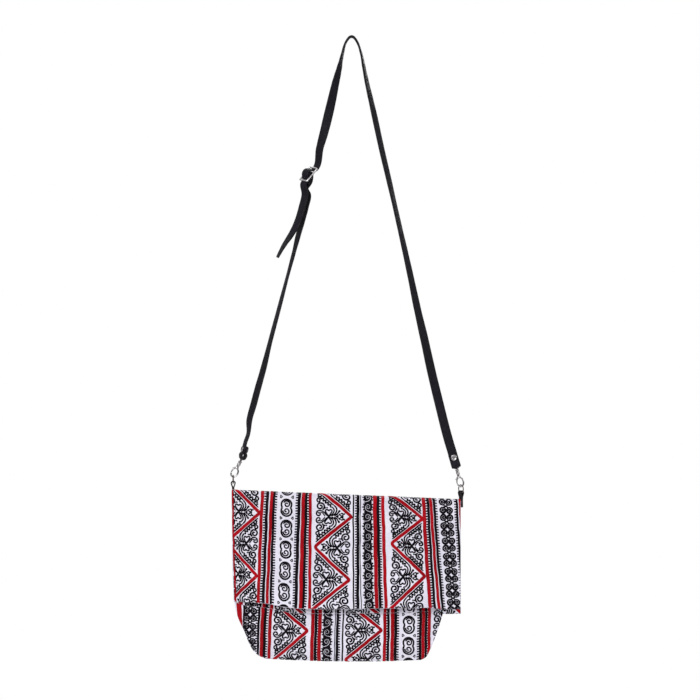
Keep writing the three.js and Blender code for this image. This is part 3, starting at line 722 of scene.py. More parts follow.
def hookBody(end, material):
    wire, gap, radius = hookSizes["wire"], hookSizes["gap"], hookSizes["barrelRadius"]
    pivotZ, halfWidth = hookHeights["pivotZ"], hookHeights["ovalHalfWidth"]
    top, bottom = hookHeights["barrelTop"], hookHeights["barrelBottom"]
    neck = hookSizes["postRadius"] + gap
    barrel = [(neck, top - 0.5), (neck, top), (radius * 0.86, top),
              (radius, top - 0.35), (radius, top - 1.2),
              (radius * 0.86, top - 1.5), (radius * 0.86, bottom + 1.9),
              (radius, bottom + 1.6), (radius, bottom + 0.9),
              (radius * 0.8, bottom)]
    shoulder = [(wire * 2.0, pivotZ - wire), (wire * 2.35, pivotZ), (wire * 1.9, pivotZ + wire * 1.2),
                (radius * 0.78, bottom + 0.6)]
    oval = ellipsePath((0, hookHeights["ovalCentre"]), (halfWidth, hookHeights["ovalHalfHeight"]),
                       84, -152, 44)
    ball = [(0.2, -wire * 1.1), (wire, -wire * 0.6), (wire * 1.05, wire * 0.4), (0.2, wire)]
    beak, beakFaces = turnedMesh(ball)
    beak = beak + np.array([oval[-1][0], 0, oval[-1][1]])
    parts = [turnedMesh(barrel), turnedMesh(shoulder), wireMesh(oval, wire, wire * 1.12), (beak, beakFaces)]
    place, axes = jointPlaces[end["name"] + "_swivel"], turnAbout("Y", end["hookLean"])
    piece = castPiece(end["name"] + "_hook_body", parts, place, axes, material, end["name"] + "_hook_body",
                      voxel=0.19)
    head, headTop = hookSizes["headRadius"] + gap, hookHeights["headTop"] + gap
    chamber = [(neck, top + 1), (neck, headTop), (head, headTop), (head, hookHeights["headBottom"] - gap)]
    slot = boxMesh((-halfWidth * 0.95 - 0.2, 0, pivotZ - wire * 0.6),
                   (halfWidth * 1.9, (hookSizes["leverHalf"] + gap) * 2, wire * 5.4))
    cut(piece, [turnedMesh(chamber), slot], place, axes)
    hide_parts(end["name"] + "_hook")


def hookLever(end, material):
    wire, leverHalf, reach = hookSizes["wire"], hookSizes["leverHalf"], hookSizes["knobReach"]
    pivotZ, pivotX = hookHeights["pivotZ"], hookHeights["pivotX"]
    halves = (hookHeights["ovalHalfWidth"], hookHeights["ovalHalfHeight"])
    arm = ellipsePath((0, hookHeights["ovalCentre"]), halves, 118, 195, 22)
    knob = [(pivotX - wire * 0.4, pivotZ - wire * 1.15), (pivotX - reach * 0.6, pivotZ - wire * 1.5),
            (pivotX - reach, pivotZ - wire * 1.7)]
    parts = [wireMesh(arm, wire * 0.8, leverHalf), wireMesh(knob, wire * 0.75, leverHalf)]
    for radius, half in [(wire * 1.1, leverHalf), (hookSizes["leverPin"], wire * 2.1)]:
        points, faces = turnedMesh([(radius, -half), (radius, half)], 24)
        parts.append((points @ turnAbout("X", 90).T + np.array([pivotX, 0, pivotZ]), faces))
    place, axes = jointPlaces[end["name"] + "_swivel"], turnAbout("Y", end["hookLean"])
    piece = castPiece(end["name"] + "_hook_lever", parts, place, axes, material, end["name"] + "_lever_body",
                      voxel=0.15, smoothings=2)
    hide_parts(end["name"] + "_lever")


ringSizes = {"outer": 12, "wire": 0.7, "tabWidth": 6, "tabWall": 1.5, "tabHole": 1.7, "gap": 0.3}


def endSpots(end):
    # the tab's hole and the ring's middle, below the bar of the eye
    across = (end["holeAcross"] - bagSizes["left"]) / bagSizes["width"]
    middle = ringSizes["outer"] / 2 - ringSizes["wire"]
    back = jointPlaces[end["name"] + "_swivel"][1]
    hole = np.array([end["holeAcross"], back, topLine(across) + end["holeUp"]])
    rise = middle - math.sqrt(middle ** 2 - (ringSizes["tabWidth"] / 2) ** 2)
    lift = rise + ringSizes["wire"] + ringSizes["gap"] - ringSizes["tabHole"]
    return hole, hole + np.array([0, 0, middle - lift])


def wireRing(end, material):
    middle = ringSizes["outer"] / 2 - ringSizes["wire"]
    path = ellipsePath((0, 0), (middle, middle), 0, 360, 72)[:-1]
    points, faces = placed(wireMesh(path, ringSizes["wire"], ringSizes["wire"], True), endSpots(end)[1],
                           turnAbout("Z", 90 + end["ringTurn"]))
    piece = makePiece(end["name"] + "_wire_ring", points, faces, material)
    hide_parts(end["name"] + "_ring")


def tabLoop(end, material):
    # a folded strip: up, round the ring, and down again
    wall, hole = ringSizes["tabWall"], ringSizes["tabHole"]
    tongue = end["holeUp"] - 2 * ringSizes["gap"]
    radius = hole + wall / 2
    flat = wall / 2 - 0.02
    # the tail's extra length is dark leather that stands partly for the tab's tail and partly for painted
    # shade at the bag's side
    rows = [(flat, -tongue - end["tabTailAndShade"]), (flat, -tongue * 0.82), (flat + 0.1, -(hole + wall) * 1.62),
            (radius * 0.72, -radius * 1.15)]
    rows += [(x, z) for x, z in ellipsePath((0, 0), (radius, radius), -28, 208, 14)]
    rows += [(-x, z) for x, z in rows[3::-1]]
    places = [(np.array([x, 0, z]), np.array([0, 1.0, 0])) for x, z in rows]
    section = bandSection(ringSizes["tabWidth"], wall, 0.5, 0.05, 4)
    points, faces = placed(bandMesh(places, 0.45, section), endSpots(end)[0], turnAbout("Z", end["tabTurn"]))
    piece = makePiece(end["name"] + "_leather_tab", points, faces, material)
    addBandMap(piece, section)
    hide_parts(end["name"] + "_tab_loop")


def capRivet(end, material):
    inner = strapSizes["thick"] + strapSizes["gap"] * 1.5
    dome, cap = 1.3, strapSizes["rivetCap"]
    face = inner + dome
    side = [(1.5, inner - 0.6), (1.5, inner), (cap - 0.35, inner), (cap, inner + 0.3),
            (cap, inner + dome * 0.5), (cap * 0.93, face - 0.2), (cap * 0.82, face),
            (cap * 0.7, face - 0.04), (cap * 0.6, face - 0.3), (cap * 0.45, face - 0.52),
            (cap * 0.2, face - 0.6), (0.02, face - 0.6)]
    profile = [(radius, -height) for radius, height in side[::-1]] + side
    eyeBar, downward, sideways, out = endFrame(end)
    points, faces = turnedMesh(profile, 48)
    axes = np.stack([sideways, -out, -downward], -1)
    place = eyeBar - downward * strapSizes["rivetUp"]
    points, faces = placed((points @ turnAbout("X", 90).T, faces), place, axes)
    piece = makePiece(end["name"] + "_cap_rivet", points, faces, material)
    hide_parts(end["name"] + "_rivet")


def sliderPiece(material):
    bar = sliderSizes["bar"]
    half = strapSizes["width"] / 2 + strapSizes["gap"] * 2 + bar
    path = []
    for cornerX, cornerZ, start in [(1, 1, 0), (-1, 1, 90), (-1, -1, 180), (1, -1, 270)]:
        path += ellipsePath((cornerX * (half - bar), cornerZ * (sliderSizes["pitch"] - bar)), (bar, bar),
                            start, start + 90, 8)
    parts = [wireMesh(path, bar, bar, True), wireMesh([(-half, 0), (0, 0), (half, 0)], bar, bar)]
    axes = np.stack([sliderSide, -sliderFront, -sliderDown], -1)
    piece = castPiece("slider", parts, sliderSizes["centre"], axes, material, voxel=0.28)
    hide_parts("strap_slider")


def strapPieces(material):
    section = bandSection(strapSizes["width"], strapSizes["thick"], strapSizes["edge"], strapSizes["dome"])
    left, right = ends
    mainPlaces = (endFoldPlaces(right)[::-1] + strandPlaces(rightStrand)[::-1] + crownPlaces()
                  + strandPlaces(leftStrand) + sliderWeave() + strandPlaces(tailStrand))
    lowerPlaces = sliderLoop()[::-1] + strandPlaces(lowerStrand) + endFoldPlaces(left)
    for name, node, places in [("long_strap", "strap_main", mainPlaces),
                               ("short_strap", "strap_lower", lowerPlaces)]:
        points, faces = bandMesh(places, strapSizes["step"], section)
        piece = makePiece(name, points, faces, material)
        addBandMap(piece, section)
        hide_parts(node)


# Pattern: bands of appliqué and line stitching, drawn flat in millimetres and laid on the cloth.
# The first number of a place is X, and the second runs down the cloth from the flap's top line.
patternSizes = {
    "halfPitch": 40.7, "bodyHalfPitch": 39, "motifDepth": 46, "zigzag": 3.5, "cornerRound": 3.4,
    "rightRound": 0.4, "toothPitch": 3.4, "tooth": 1.28, "toothReach": 1.2, "line": 0.78,
    "medallions": 27.2, "gears": 12.6, "clovers": 9.9, "wobble": 0.22, "stripLift": 17, "seamInset": 0.45,
    "ends": 0.16, "black": 1.6, "white": 0.85, "red": 1.22,
}

# Bands of the flap and the back: distance from the bag's left edge at the flap's top, middle and hem
outerBands = table(
    "kind top middle foot width reach start",
    ("red", 1.6, 1.7, 2.8, 1.9),
    ("red", 40.7, 37.4, 34.2, 3.5),
    ("comb", 47.3, 44.3, 40.7, 3.0, -2.4),
    ("red", 52.7, 49.5, 45.6, 3.3),
    ("comb", 56.0, 53.2, 50.3, 2.5, 2.5),
    ("medallions", 72.3, 70.9, 67.3, None, None, 19.5),
    ("comb", 88.8, 86.2, 83.6, 3.2, -2.5),
    ("red", 93.9, 91.7, 89.8, 3.8),
    ("comb", 97.8, 95.6, 93.5, 2.6, 2.5),
    ("red", 102.8, 102.1, 101.8, 3.3),
    ("line", 158.5, 158.2, 158.7, 1.6),
    ("comb", 164.3, 164.2, 164.1, 3.0, -2.0),
    ("line", 167.6, 167.1, 168.6, 0.9),
    ("gears", 177.2, 177.1, 178.8, None, None, 14.5),
    ("red", 186.0, 186.9, 188.4, 4.0),
    ("comb", 189.9, 191.1, 192.9, 2.9, 2.1),
    ("red", 196.2, 198.1, 200.7, 3.6),
    ("red", 249.1, 252.4, 258.0, 3.8),
    ("comb", 254.6, 258.4, 263.9, 2.6, -2.3),
    ("red", 258.2, 262.8, 269.5, 3.2),
    ("comb", 262.2, 267.0, 274.2, 2.6, 2.1),
    ("clovers", 277.2, 282.6, 289.3, None, None, 14.5),
    ("comb", 292.1, 296.3, 302.0, 2.5, -2.1),
    ("red", 296.7, 301.6, 307.0, 3.6),
)

# The zigzags' corners, left and right in turn, from the left edge and below the top line
outerZigzags = [
    [(-7, -13), (37.2, 27.8), (-7.5, 68.5), (32.4, 109), (-8, 149.5)],
    [(109.9, -10), (156.2, 27.8), (107.4, 69), (153.1, 109.3), (102.8, 150.8)],
    [(200.9, -9), (248.2, 26.2), (207.2, 60.5), (251, 100.2), (204, 146.5)],
]

# Bands of the body below the flap: the same cloth the other way up, leaning a little
bodyBands = table(
    "kind at width reach start lean",
    ("red", 10.9, 5.6, None, None, -0.025),
    ("comb", 15.2, 2.2, 2.1),
    ("clovers", 23.4, None, None, 744.5),
    ("comb", 35.2, 2.5, -2.1),
    ("red", 39.6, 3.5),
    ("comb", 43.4, 2.8, 2.1),
    ("red", 50.0, 3.6),
    ("red", 105.2, 3.7),
    ("comb", 109.4, 2.9, 1.8),
    ("red", 114.4, 4.0),
    ("gears", 124.2, None, None, 746.0),
    ("line", 134.4, 0.9),
    ("comb", 137.4, 2.8, 2.0),
    ("line", 144.6, 1.6),
    ("red", 199.0, 3.4),
    ("comb", 203.6, 2.6, -2.1),
    ("red", 208.8, 3.8),
    ("comb", 213.0, 3.0, 2.5),
    ("medallions", 230.0, None, None, 762.4),
    ("comb", 245.0, 2.8, -2.5),
    ("red", 248.8, 3.3),
    ("comb", 252.4, 2.5, 1.6),
    ("red", 256.6, 3.5),
)
bodyZigzags = table(
    "left right corner",
    (53.7, 98.9, 769.9),
    (147.0, 195.0, 768.9),
    (261.0, 304.0, 769.5),
)


def newDrawing(boldness):
    return {"places": [], "lifts": [], "faces": [], "along": [], "count": 0, "boldness": boldness}


def newDrawings():
    return {colour: newDrawing(patternSizes[colour]) for colour in ("black", "white", "red")}


# Cross-sections of the stitching: shares of the half width, and heights over the cloth
threadProfile = ([-1, -0.45, 0.45, 1], [0.02, 0.24, 0.24, 0.02])
wideProfile = ([-1, -0.7, 0, 0.7, 1], [0.02, 0.24, 0.28, 0.24, 0.02])
overProfile = ([-1, 0, 1], [0.22, 0.44, 0.22])
redProfile = ([-1, -0.86, -0.5, 0, 0.5, 0.86, 1], [-0.05, 0.28, 0.46, 0.52, 0.46, 0.28, -0.05])


def addGrid(drawing, places, lifts, along):
    rows, columns = lifts.shape
    grid = drawing["count"] + np.arange(rows * columns).reshape(rows, columns)
    quads = np.stack([grid[:-1, :-1], grid[:-1, 1:], grid[1:, 1:], grid[1:, :-1]], -1)
    drawing["places"].append(places.reshape(-1, 2))
    drawing["lifts"].append(lifts.ravel())
    drawing["faces"].append(quads.reshape(-1, 4))
    drawing["along"].append(along.reshape(-1, 2))
    drawing["count"] += rows * columns


def addRibbon(drawing, line, width, profile, step, taper=0.6):
    # a low domed thread or ribbon along a line
    line = np.asarray(line, float)
    walked = np.concatenate([[0], np.cumsum(np.linalg.norm(np.diff(line, axis=0), axis=1))])
    wanted = np.linspace(0, walked[-1], max(2, math.ceil(walked[-1] / step) + 1))
    line = np.stack([np.interp(wanted, walked, line[:, 0]), np.interp(wanted, walked, line[:, 1])], -1)
    onward = unit(np.gradient(line, axis=0))
    side = np.stack([-onward[:, 1], onward[:, 0]], -1)
    halves = np.full(len(line), width / 2 * drawing["boldness"])
    halves[[0, -1]] *= taper
    out = halves[:, None] * np.array(profile[0], float)
    places = line[:, None, :] + side[:, None, :] * out[..., None]
    lifts = np.tile(np.array(profile[1], float), (len(line), 1))
    along = np.stack([out, np.tile(wanted[:, None], (1, out.shape[1]))], -1)
    addGrid(drawing, places, lifts, along)


def addDisc(drawing, centre, radius, sides=16):
    angles = 2 * math.pi * np.arange(sides + 1) / sides
    ring = np.stack([np.cos(angles), np.sin(angles)], -1)
    offsets = ring[None] * (np.array([1, 0.75, 0.02]) * radius)[:, None, None]
    lifts = np.tile(np.array([[0.02], [0.24], [0.28]]), (1, sides + 1))
    addGrid(drawing, np.asarray(centre, float) + offsets, lifts, offsets)


def spiralLine(centre, radius, turns, start=0, inner=0.6, hand=1):
    share = np.linspace(0, 1, max(10, int(turns * 18)))
    angle = math.radians(start) + hand * 2 * math.pi * turns * share
    reach = radius + (inner - radius) * share ** 1.35
    return np.stack([centre[0] + reach * np.cos(angle), centre[1] + reach * np.sin(angle)], -1)


def curveLine(corners, perSpan=7):
    # smooth line through a few corners
    corners = np.asarray(corners, float)
    slopes = np.gradient(corners, axis=0)
    share = np.linspace(0, 1, perSpan, endpoint=False)[:, None]
    square, cube = share ** 2, share ** 3
    line = []
    for index in range(len(corners) - 1):
        line.append((2 * cube - 3 * square + 1) * corners[index]
                    + (cube - 2 * square + share) * slopes[index]
                    + (3 * square - 2 * cube) * corners[index + 1] + (cube - square) * slopes[index + 1])
    return np.concatenate(line + [corners[-1:]])


def wavyLine(start, end, count=6, swing=1.45):
    # stepped line with rounded corners, as the stitched one beside each diagonal
    start, end = np.asarray(start, float), np.asarray(end, float)
    onward = end - start
    aside = np.array([-onward[1], onward[0]]) / np.linalg.norm(onward)
    shares = np.linspace(0, 1, count * 12 + 1)
    swings = swing * np.tanh(1.9 * np.sin(2 * math.pi * count * shares))
    return start + onward * shares[:, None] + aside * swings[:, None]


# One triangle's figure: depth from its base towards its tip, and offset along the base, in millimetres.
# Each row is drawn on both sides of the middle, and a row whose places are all at offset 0 is drawn once.
motif = table(
    "shape at width radius turns start",
    ("spiral", (4.4, 21.8), 1.26, 3.5, 1.1, 60),
    ("spiral", (6.5, 13.9), 1.42, 6.0, 1.55, -60),
    ("spiral", (4.4, 3.9), 1.26, 3.8, 1.15, 110),
    ("curve", [(1.4, 6.2), (4.4, 8.1), (8.2, 8.0), (11.4, 5.6), (14.2, 2.4), (17.2, 0.2)], 1.2),
    ("curve", [(6.4, 5.9), (8.8, 5.4), (11, 2.8), (12.6, 0.5)], 1.0),
    ("curve", [(17.2, 0.6), (14.2, 4.4), (12.6, 7.6), (13.7, 9.4), (15.8, 8.9), (16.9, 7.4)], 1.26),
    ("curve", [(16.9, 7.4), (18.2, 9.0), (20.2, 8.9), (20.9, 6.8), (19.3, 3.8), (17.2, 0.6)], 1.26),
    ("disc", (12.6, 11.9), None, 1.2),
    ("disc", (14.8, 12.0), None, 1.1),
    ("curve", [(17.2, 0.2), (20.8, 2.4), (23.2, 5.8), (23.3, 9.6), (20.6, 13.2)], 1.2),
    ("curve", [(20.6, 0.6), (24.6, 3.2), (26.6, 7.2), (26.3, 11.2), (23.4, 15.0)], 1.26),
    ("line", [(23.4, 15.0), (2.0, 33.8)], 1.26),
    ("wavy", [(20.6, 13.2), (2.2, 29.3)], 1.2),
    ("curve", [(24.2, 0.8), (27.6, 3.4), (29.8, 7.0)], 1.26),
    ("disc", (30.2, 7.2), None, 1.6),
    ("spiral", (33.3, 3.1), 1.15, 3.1, 1.1, 150),
    ("disc", (34.4, 0.1), None, 1.5),
    ("disc", (36.6, 3.6), None, 1.2),
    ("line", [(27.2, 0.5), (30.2, 2.6)], 1.1),
    ("line", [(15.8, 0), (18.6, 0)], 1.5),
    ("line", [(25.8, 0), (29.6, 0)], 1.3),
)


def motifLine(row):
    if row["shape"] == "spiral":
        return spiralLine(row["at"], row["radius"] - row["width"] / 2, row["turns"], row["start"], 0.7)
    if row["shape"] == "curve":
        return curveLine(row["at"])
    if row["shape"] == "wavy":
        return wavyLine(*row["at"])
    return np.array(row["at"], float)


def triangleFigure(drawing, base, upper, lower, tip):
    depthStep = (tip - base) / patternSizes["motifDepth"]
    upStep = (base - upper) / patternSizes["halfPitch"]
    downStep = (lower - base) / patternSizes["halfPitch"]

    def laid(line):
        steps = np.where(line[:, 1:] < 0, upStep, downStep)
        return base + line[:, :1] * depthStep + line[:, 1:] * steps

    for row in motif:
        isMiddle = row["shape"] == "line" and row["at"][0][1] == 0
        for mirror in (1,) if isMiddle else (1, -1):
            if row["shape"] == "disc":
                addDisc(drawing, laid(np.array([row["at"]]) * (1, mirror))[0], row["radius"], sides=10)
                continue
            line = laid(motifLine(row) * (1, mirror))
            addRibbon(drawing, line, row["width"], threadProfile, 2.2 if row["shape"] == "line" else 0.8)


medallionSizes = {
    "lobe": 6.7, "spread": 4.1, "outline": 1.45, "curlReach": 4.4, "curl": 1.22, "cornerOut": 8.3,
    "cornerIn": 5.6, "cornerHalf": 1.9, "corner": 0.72,
}


def medallion(black, centre):
    # two spirals in an outline shaped like an 8, with small triangles in the gap below
    size = medallionSizes
    lobe, spread = size["lobe"], size["spread"]
    waist = math.degrees(math.asin(spread / lobe))
    angles = np.radians(np.linspace(-waist, 180 + waist, 30))
    arch = np.stack([lobe * np.cos(angles), spread + lobe * np.sin(angles)], -1)
    for sign in (-1, 1):
        addRibbon(black, centre + arch * (1, sign), size["outline"], threadProfile, 0.9, taper=1)
    for across, down, turns, start, hand in [(0.4, -4.6, 1.45, 200, 1), (-0.1, 4.2, 1.4, 190, -1)]:
        spiral = spiralLine((across, down), size["curlReach"], turns, start, 0.5, hand)
        addRibbon(black, centre + spiral, size["curl"], threadProfile, 0.8)
    gapCentre = centre + np.array([0, patternSizes["medallions"] / 2])
    for side in (-1, 1):
        out, half = side * size["cornerOut"], size["cornerHalf"]
        corner = np.array([(out, -half), (out, half), (side * size["cornerIn"], 0), (out, -half)])
        addRibbon(black, gapCentre + corner, size["corner"], threadProfile, 1.3, taper=1)


gearSizes = {
    "disc": 5.9, "spokeFrom": 4.8, "spokeTo": 7.5, "spoke": 1.35, "curlReach": 3.3, "curl": 0.6,
    "tail": 0.75, "band": 6.0,
}


def gearWheel(black, white, centre, hand):
    # one wheel of the running wave: teeth round a dark disc, and a light spiral whose tail leaves one side
    size = gearSizes
    addDisc(black, centre, size["disc"])
    for side in (-1, 1):
        for angle in np.radians([-64, -32, 0, 32, 64]):
            spoke = np.array([side * math.cos(angle), math.sin(angle)])
            line = [centre + spoke * size["spokeFrom"], centre + spoke * size["spokeTo"]]
            addRibbon(black, line, size["spoke"], threadProfile, 3, taper=0.9)
    curl = spiralLine((0, 0), size["curlReach"], 1.25, 90 - 90 * hand, 0.9, hand)
    tail = curveLine([(3.4 * hand, 0), (3.1 * hand, 2.4), (0.9 * hand, 4.7),
                      (-2.2 * hand, 5.8), (-6.4 * hand, 6.2)])
    addRibbon(white, centre + curl * (1, -1), size["curl"], overProfile, 0.8)
    addRibbon(white, centre + tail, size["tail"], overProfile, 0.9, taper=1.8)


cloverSizes = {"apart": 4.35, "shift": 0.45, "disc": 4.8, "curlReach": 2.9, "curl": 0.36, "stem": 1.25}


def cloverPair(black, white, centre, mirror):
    # two dark curls side by side, with crossing stems from every other pair to the next
    size = cloverSizes
    centre = centre + np.array([0, -size["shift"] * mirror])
    for side in (-1, 1):
        eye = centre + np.array([side * size["apart"], 0])
        addDisc(black, eye, size["disc"])
        curl = spiralLine((0, 0), size["curlReach"], 1.15, 30, 0.8) * (-side, mirror)
        addRibbon(white, eye + curl, size["curl"], overProfile, 0.8)
        if mirror > 0:
            stem = curveLine([(side * 3.4, 3.2), (side * 1.7, 4.5), (side * -1.7, 6.3), (side * -3.4, 7.6)])
            addRibbon(black, centre + stem, size["stem"], threadProfile, 1.0, taper=1)


def addComb(black, band, lineAt, start, end):
    # a dark line with even teeth along one side
    side = math.copysign(1, band["reach"])
    reach = abs(band["reach"]) * patternSizes["toothReach"]
    for down in np.arange(start, end, patternSizes["toothPitch"]):
        root = lineAt([down], side * band["width"] * 0.4)[0]
        tip = lineAt([down + 0.25], side * (band["width"] / 2 + reach))[0]
        addRibbon(black, [root, tip], patternSizes["tooth"], threadProfile, 3, taper=0.86)


def addBand(drawings, band, centreAt, start, end):
    # one band from start to end down the cloth, along its own centre line
    def lineAt(downs, aside=0):
        downs = np.asarray(downs, float)
        return np.stack([centreAt(downs) + aside, downs], -1)

    whole = lineAt(np.linspace(start, end, int(end - start)))
    black, white = drawings["black"], drawings["white"]
    if band["kind"] == "red":
        addRibbon(drawings["red"], whole, band["width"], redProfile, 1.3, taper=1)
        return
    if band["kind"] in ("line", "comb"):
        profile = wideProfile if band["width"] > 1.8 else threadProfile
        addRibbon(black, whole, band["width"] * patternSizes["line"], profile, 1.6, taper=1)
        if band["kind"] == "comb":
            addComb(black, band, lineAt, start, end)
        return
    pitch = patternSizes[band["kind"]]
    before = math.ceil((band["start"] - start) / pitch)
    for index, down in enumerate(np.arange(band["start"] - pitch * before, end + pitch / 2, pitch)):
        centre = lineAt([down])[0]
        hand = 1 if (index - before) % 2 else -1
        if band["kind"] == "medallions":
            medallion(black, centre)
        elif band["kind"] == "gears":
            gearWheel(black, white, centre, hand)
        else:
            cloverPair(black, white, centre, hand)
    if band["kind"] == "gears":
        addRibbon(black, whole, gearSizes["band"], wideProfile, 1.6, taper=1)


def addZigzag(drawings, corners):
    # the red line through the corners, the left ones rounded more, with a figure in each triangle beside it
    corners = np.array(corners, float)
    line = [corners[0]]
    for index in range(1, len(corners) - 1):
        isLeft = corners[index][0] < corners[index - 1][0]
        reach = patternSizes["cornerRound"] * (1 if isLeft else patternSizes["rightRound"])
        before = unit(corners[index - 1] - corners[index]) * reach
        after = unit(corners[index + 1] - corners[index]) * reach
        line += [corners[index] + before, corners[index] + (before + after) * 0.28, corners[index] + after]
    addRibbon(drawings["red"], line + [corners[-1]], patternSizes["zigzag"], redProfile, 1.1, taper=1)
    for index in range(1, len(corners) - 1):
        upper, tip, lower = corners[index - 1:index + 2]
        triangleFigure(drawings["black"], (upper + lower) / 2, upper, lower, tip)


def outerShares(x, down):
    across = (x - bagSizes["left"]) / bagSizes["width"]
    radius = foldRadius(x)
    fold = foldLine(across)
    flapTop = topLine(across) - fold
    onFlap = 2 + (down - flapTop) / (fold - hemLine(across, True))
    onFold = 2 - (flapTop - down) / radius / math.pi
    z = fold - (flapTop - math.pi * radius - down)
    up = (z - bottomLine(across)) / (fold - bottomLine(across))
    left, right = bodyLeft(np.clip(up, 0, 1)), bodyRight(np.clip(up, 0, 1))
    along = np.where(down >= flapTop, onFlap, np.where(onFold >= 1, onFold, up))
    across = np.where((down < flapTop) & (onFold < 1), (x - left) / (right - left), across)
    return across, along


def bodyShares(x, down):
    across = (x - bagSizes["left"]) / bagSizes["width"]
    up = (-down - bottomLine(across)) / (foldLine(across) - bottomLine(across))
    left, right = bodyLeft(np.clip(up, 0, 1)), bodyRight(np.clip(up, 0, 1))
    return (x - left) / (right - left), up


def stripShares(x, down):
    across = (x - bagSizes["left"]) / bagSizes["width"]
    fold = foldLine(across)
    return across, 2 + (fold + down) / (fold - hemLine(across, False))


def layDrawings(name, drawings, shares, isBack, alongLimits, isInside=False, endsFrom=4):
    # puts flat drawings on a face of the cloth, cut off at the cloth's edges; past endsFrom along the cloth,
    # which lies between the layers, only the two ends are drawn
    wobble = patternSizes["wobble"]
    inset = patternSizes["seamInset"] / bagSizes["width"]
    for colour, drawing in drawings.items():
        places = np.concatenate(drawing["places"])
        x, down = places[:, 0] + bagSizes["left"], places[:, 1]
        x = x + wobble * (np.sin(down / 7.3 + x / 19) + 0.6 * np.sin(down / 3.1 + x / 5.7))
        down = down + wobble * (np.sin(x / 6.9 + down / 17) + 0.5 * np.sin(x / 2.9 - down / 4.7))
        across, along = shares(x, down)
        outside = (across < inset) | (across > 1 - inset)
        outside |= (along < alongLimits[0]) | (along > alongLimits[1])
        outside |= (along > endsFrom) & (across > patternSizes["ends"]) & (across < 1 - patternSizes["ends"])
        lifts = np.concatenate(drawing["lifts"])
        across, along = np.clip(across, inset, 1 - inset), np.clip(along, *alongLimits)
        points = clothFace(across, along, isBack, lifts, isInside)
        faces = np.concatenate(drawing["faces"])
        faces = faces[~outside[faces].all(1)]
        used = np.unique(faces)
        renumber = np.zeros(len(points), int)
        renumber[used] = np.arange(len(used))
        faces = renumber[faces]
        piece = makePiece(name + "_" + colour, points[used], faces.tolist(), threadFinishes[colour])
        flat = np.concatenate(drawing["along"])[used] * mm
        piece.data.uv_layers.new(name="thread").data.foreach_set("uv", flat[faces.ravel()].ravel())
        print("bag:", piece.name, len(faces) * 2, "triangles")


def outerDrawings():
    drawings = newDrawings()
    backReach = -(bagSizes["height"] + 22)
    flapReach = bagSizes["flapLength"] * 1.03
    for band in outerBands:
        rows = table("down at", (-1, band["top"]), (68, band["middle"]), (146, band["foot"]))
        centreAt = lambda downs, rows=rows: lookUp(rows, "down", "at", downs)
        addBand(drawings, band, centreAt, backReach, flapReach)
    for corners in outerZigzags:
        corners = list(corners)
        leftX, rightX = corners[0][0], corners[1][0]
        while corners[0][1] > backReach:
            nextX = rightX if len(corners) % 2 else leftX
            corners.insert(0, (nextX, corners[0][1] - patternSizes["halfPitch"]))
        lastLeft = len(outerZigzags[0]) % 2
        corners.append((rightX if lastLeft else leftX, corners[-1][1] + patternSizes["halfPitch"]))
        addZigzag(drawings, corners)
    return drawings


def bodyDrawings(shift, start, end):
    # shift moves the pattern up the cloth, and start and end are depths below the origin
    drawings = newDrawings()
    for band in bodyBands:
        lean = band.get("lean", 0.05 * (1 - band["at"] / bagSizes["width"]))
        moved = dict(band, start=band.get("start", 0) - shift)
        centreAt = lambda downs, band=band, lean=lean: band["at"] - lean * (downs - 775)
        addBand(drawings, moved, centreAt, start, end)
    for zigzag in bodyZigzags:
        pitch = patternSizes["bodyHalfPitch"]
        moved = zigzag["corner"] - shift
        first = moved - pitch * 2 * math.ceil((moved - start) / pitch / 2)
        corners = []
        down, isRight = first, True
        while down < end + pitch * 2:
            corners.append((zigzag["right"] if isRight else zigzag["left"], down))
            down, isRight = down + pitch, not isRight
        addZigzag(drawings, corners)
    return drawings


# Finishes: each effect is a node group with named sockets, placed in every material that shows it

def newGroup(name, inputs, outputs):
    tree = bpy.data.node_groups.new(name, "ShaderNodeTree")
    for socketName, value in inputs.items():
        kind = "NodeSocketVector" if value is None else "NodeSocketFloat"
        socket = tree.interface.new_socket(socketName, in_out="INPUT", socket_type=kind)
        if value is not None:
            socket.default_value = value
    for socketName in outputs:
        tree.interface.new_socket(socketName, in_out="OUTPUT", socket_type="NodeSocketFloat")
    return tree, tree.nodes.new("NodeGroupInput").outputs, tree.nodes.new("NodeGroupOutput").inputs


def setInputs(tree, node, inputs):
    # each value is a number, a colour, or another node's output to link
    for name, value in inputs.items():
        if isinstance(value, bpy.types.NodeSocket):
            tree.links.new(value, node.inputs[name])
        else:
            node.inputs[name].default_value = value
    return node


def mathNode(tree, operation, first, second=0.0, third=0.0):
    node = tree.nodes.new("ShaderNodeMath")
    node.operation = operation
    return setInputs(tree, node, {0: first, 1: second, 2: third}).outputs[0]


def noiseNode(tree, place, scale, detail=3.0, roughness=0.55):
    node = tree.nodes.new("ShaderNodeTexNoise")
    return setInputs(tree, node, {"Vector": place, "Scale": scale, "Detail": detail,
                                  "Roughness": roughness}).outputs["Fac"]


def splitNode(tree, place):
    node = tree.nodes.new("ShaderNodeSeparateXYZ")
    tree.links.new(place, node.inputs[0])
    return node.outputs


def rangeNode(tree, value, fromLow, fromHigh, low=0.0, high=1.0):
    node = tree.nodes.new("ShaderNodeMapRange")
    node.interpolation_type = "SMOOTHSTEP"
    return setInputs(tree, node, {"Value": value, "From Min": fromLow, "From Max": fromHigh, "To Min": low,
                                  "To Max": high}).outputs["Result"]


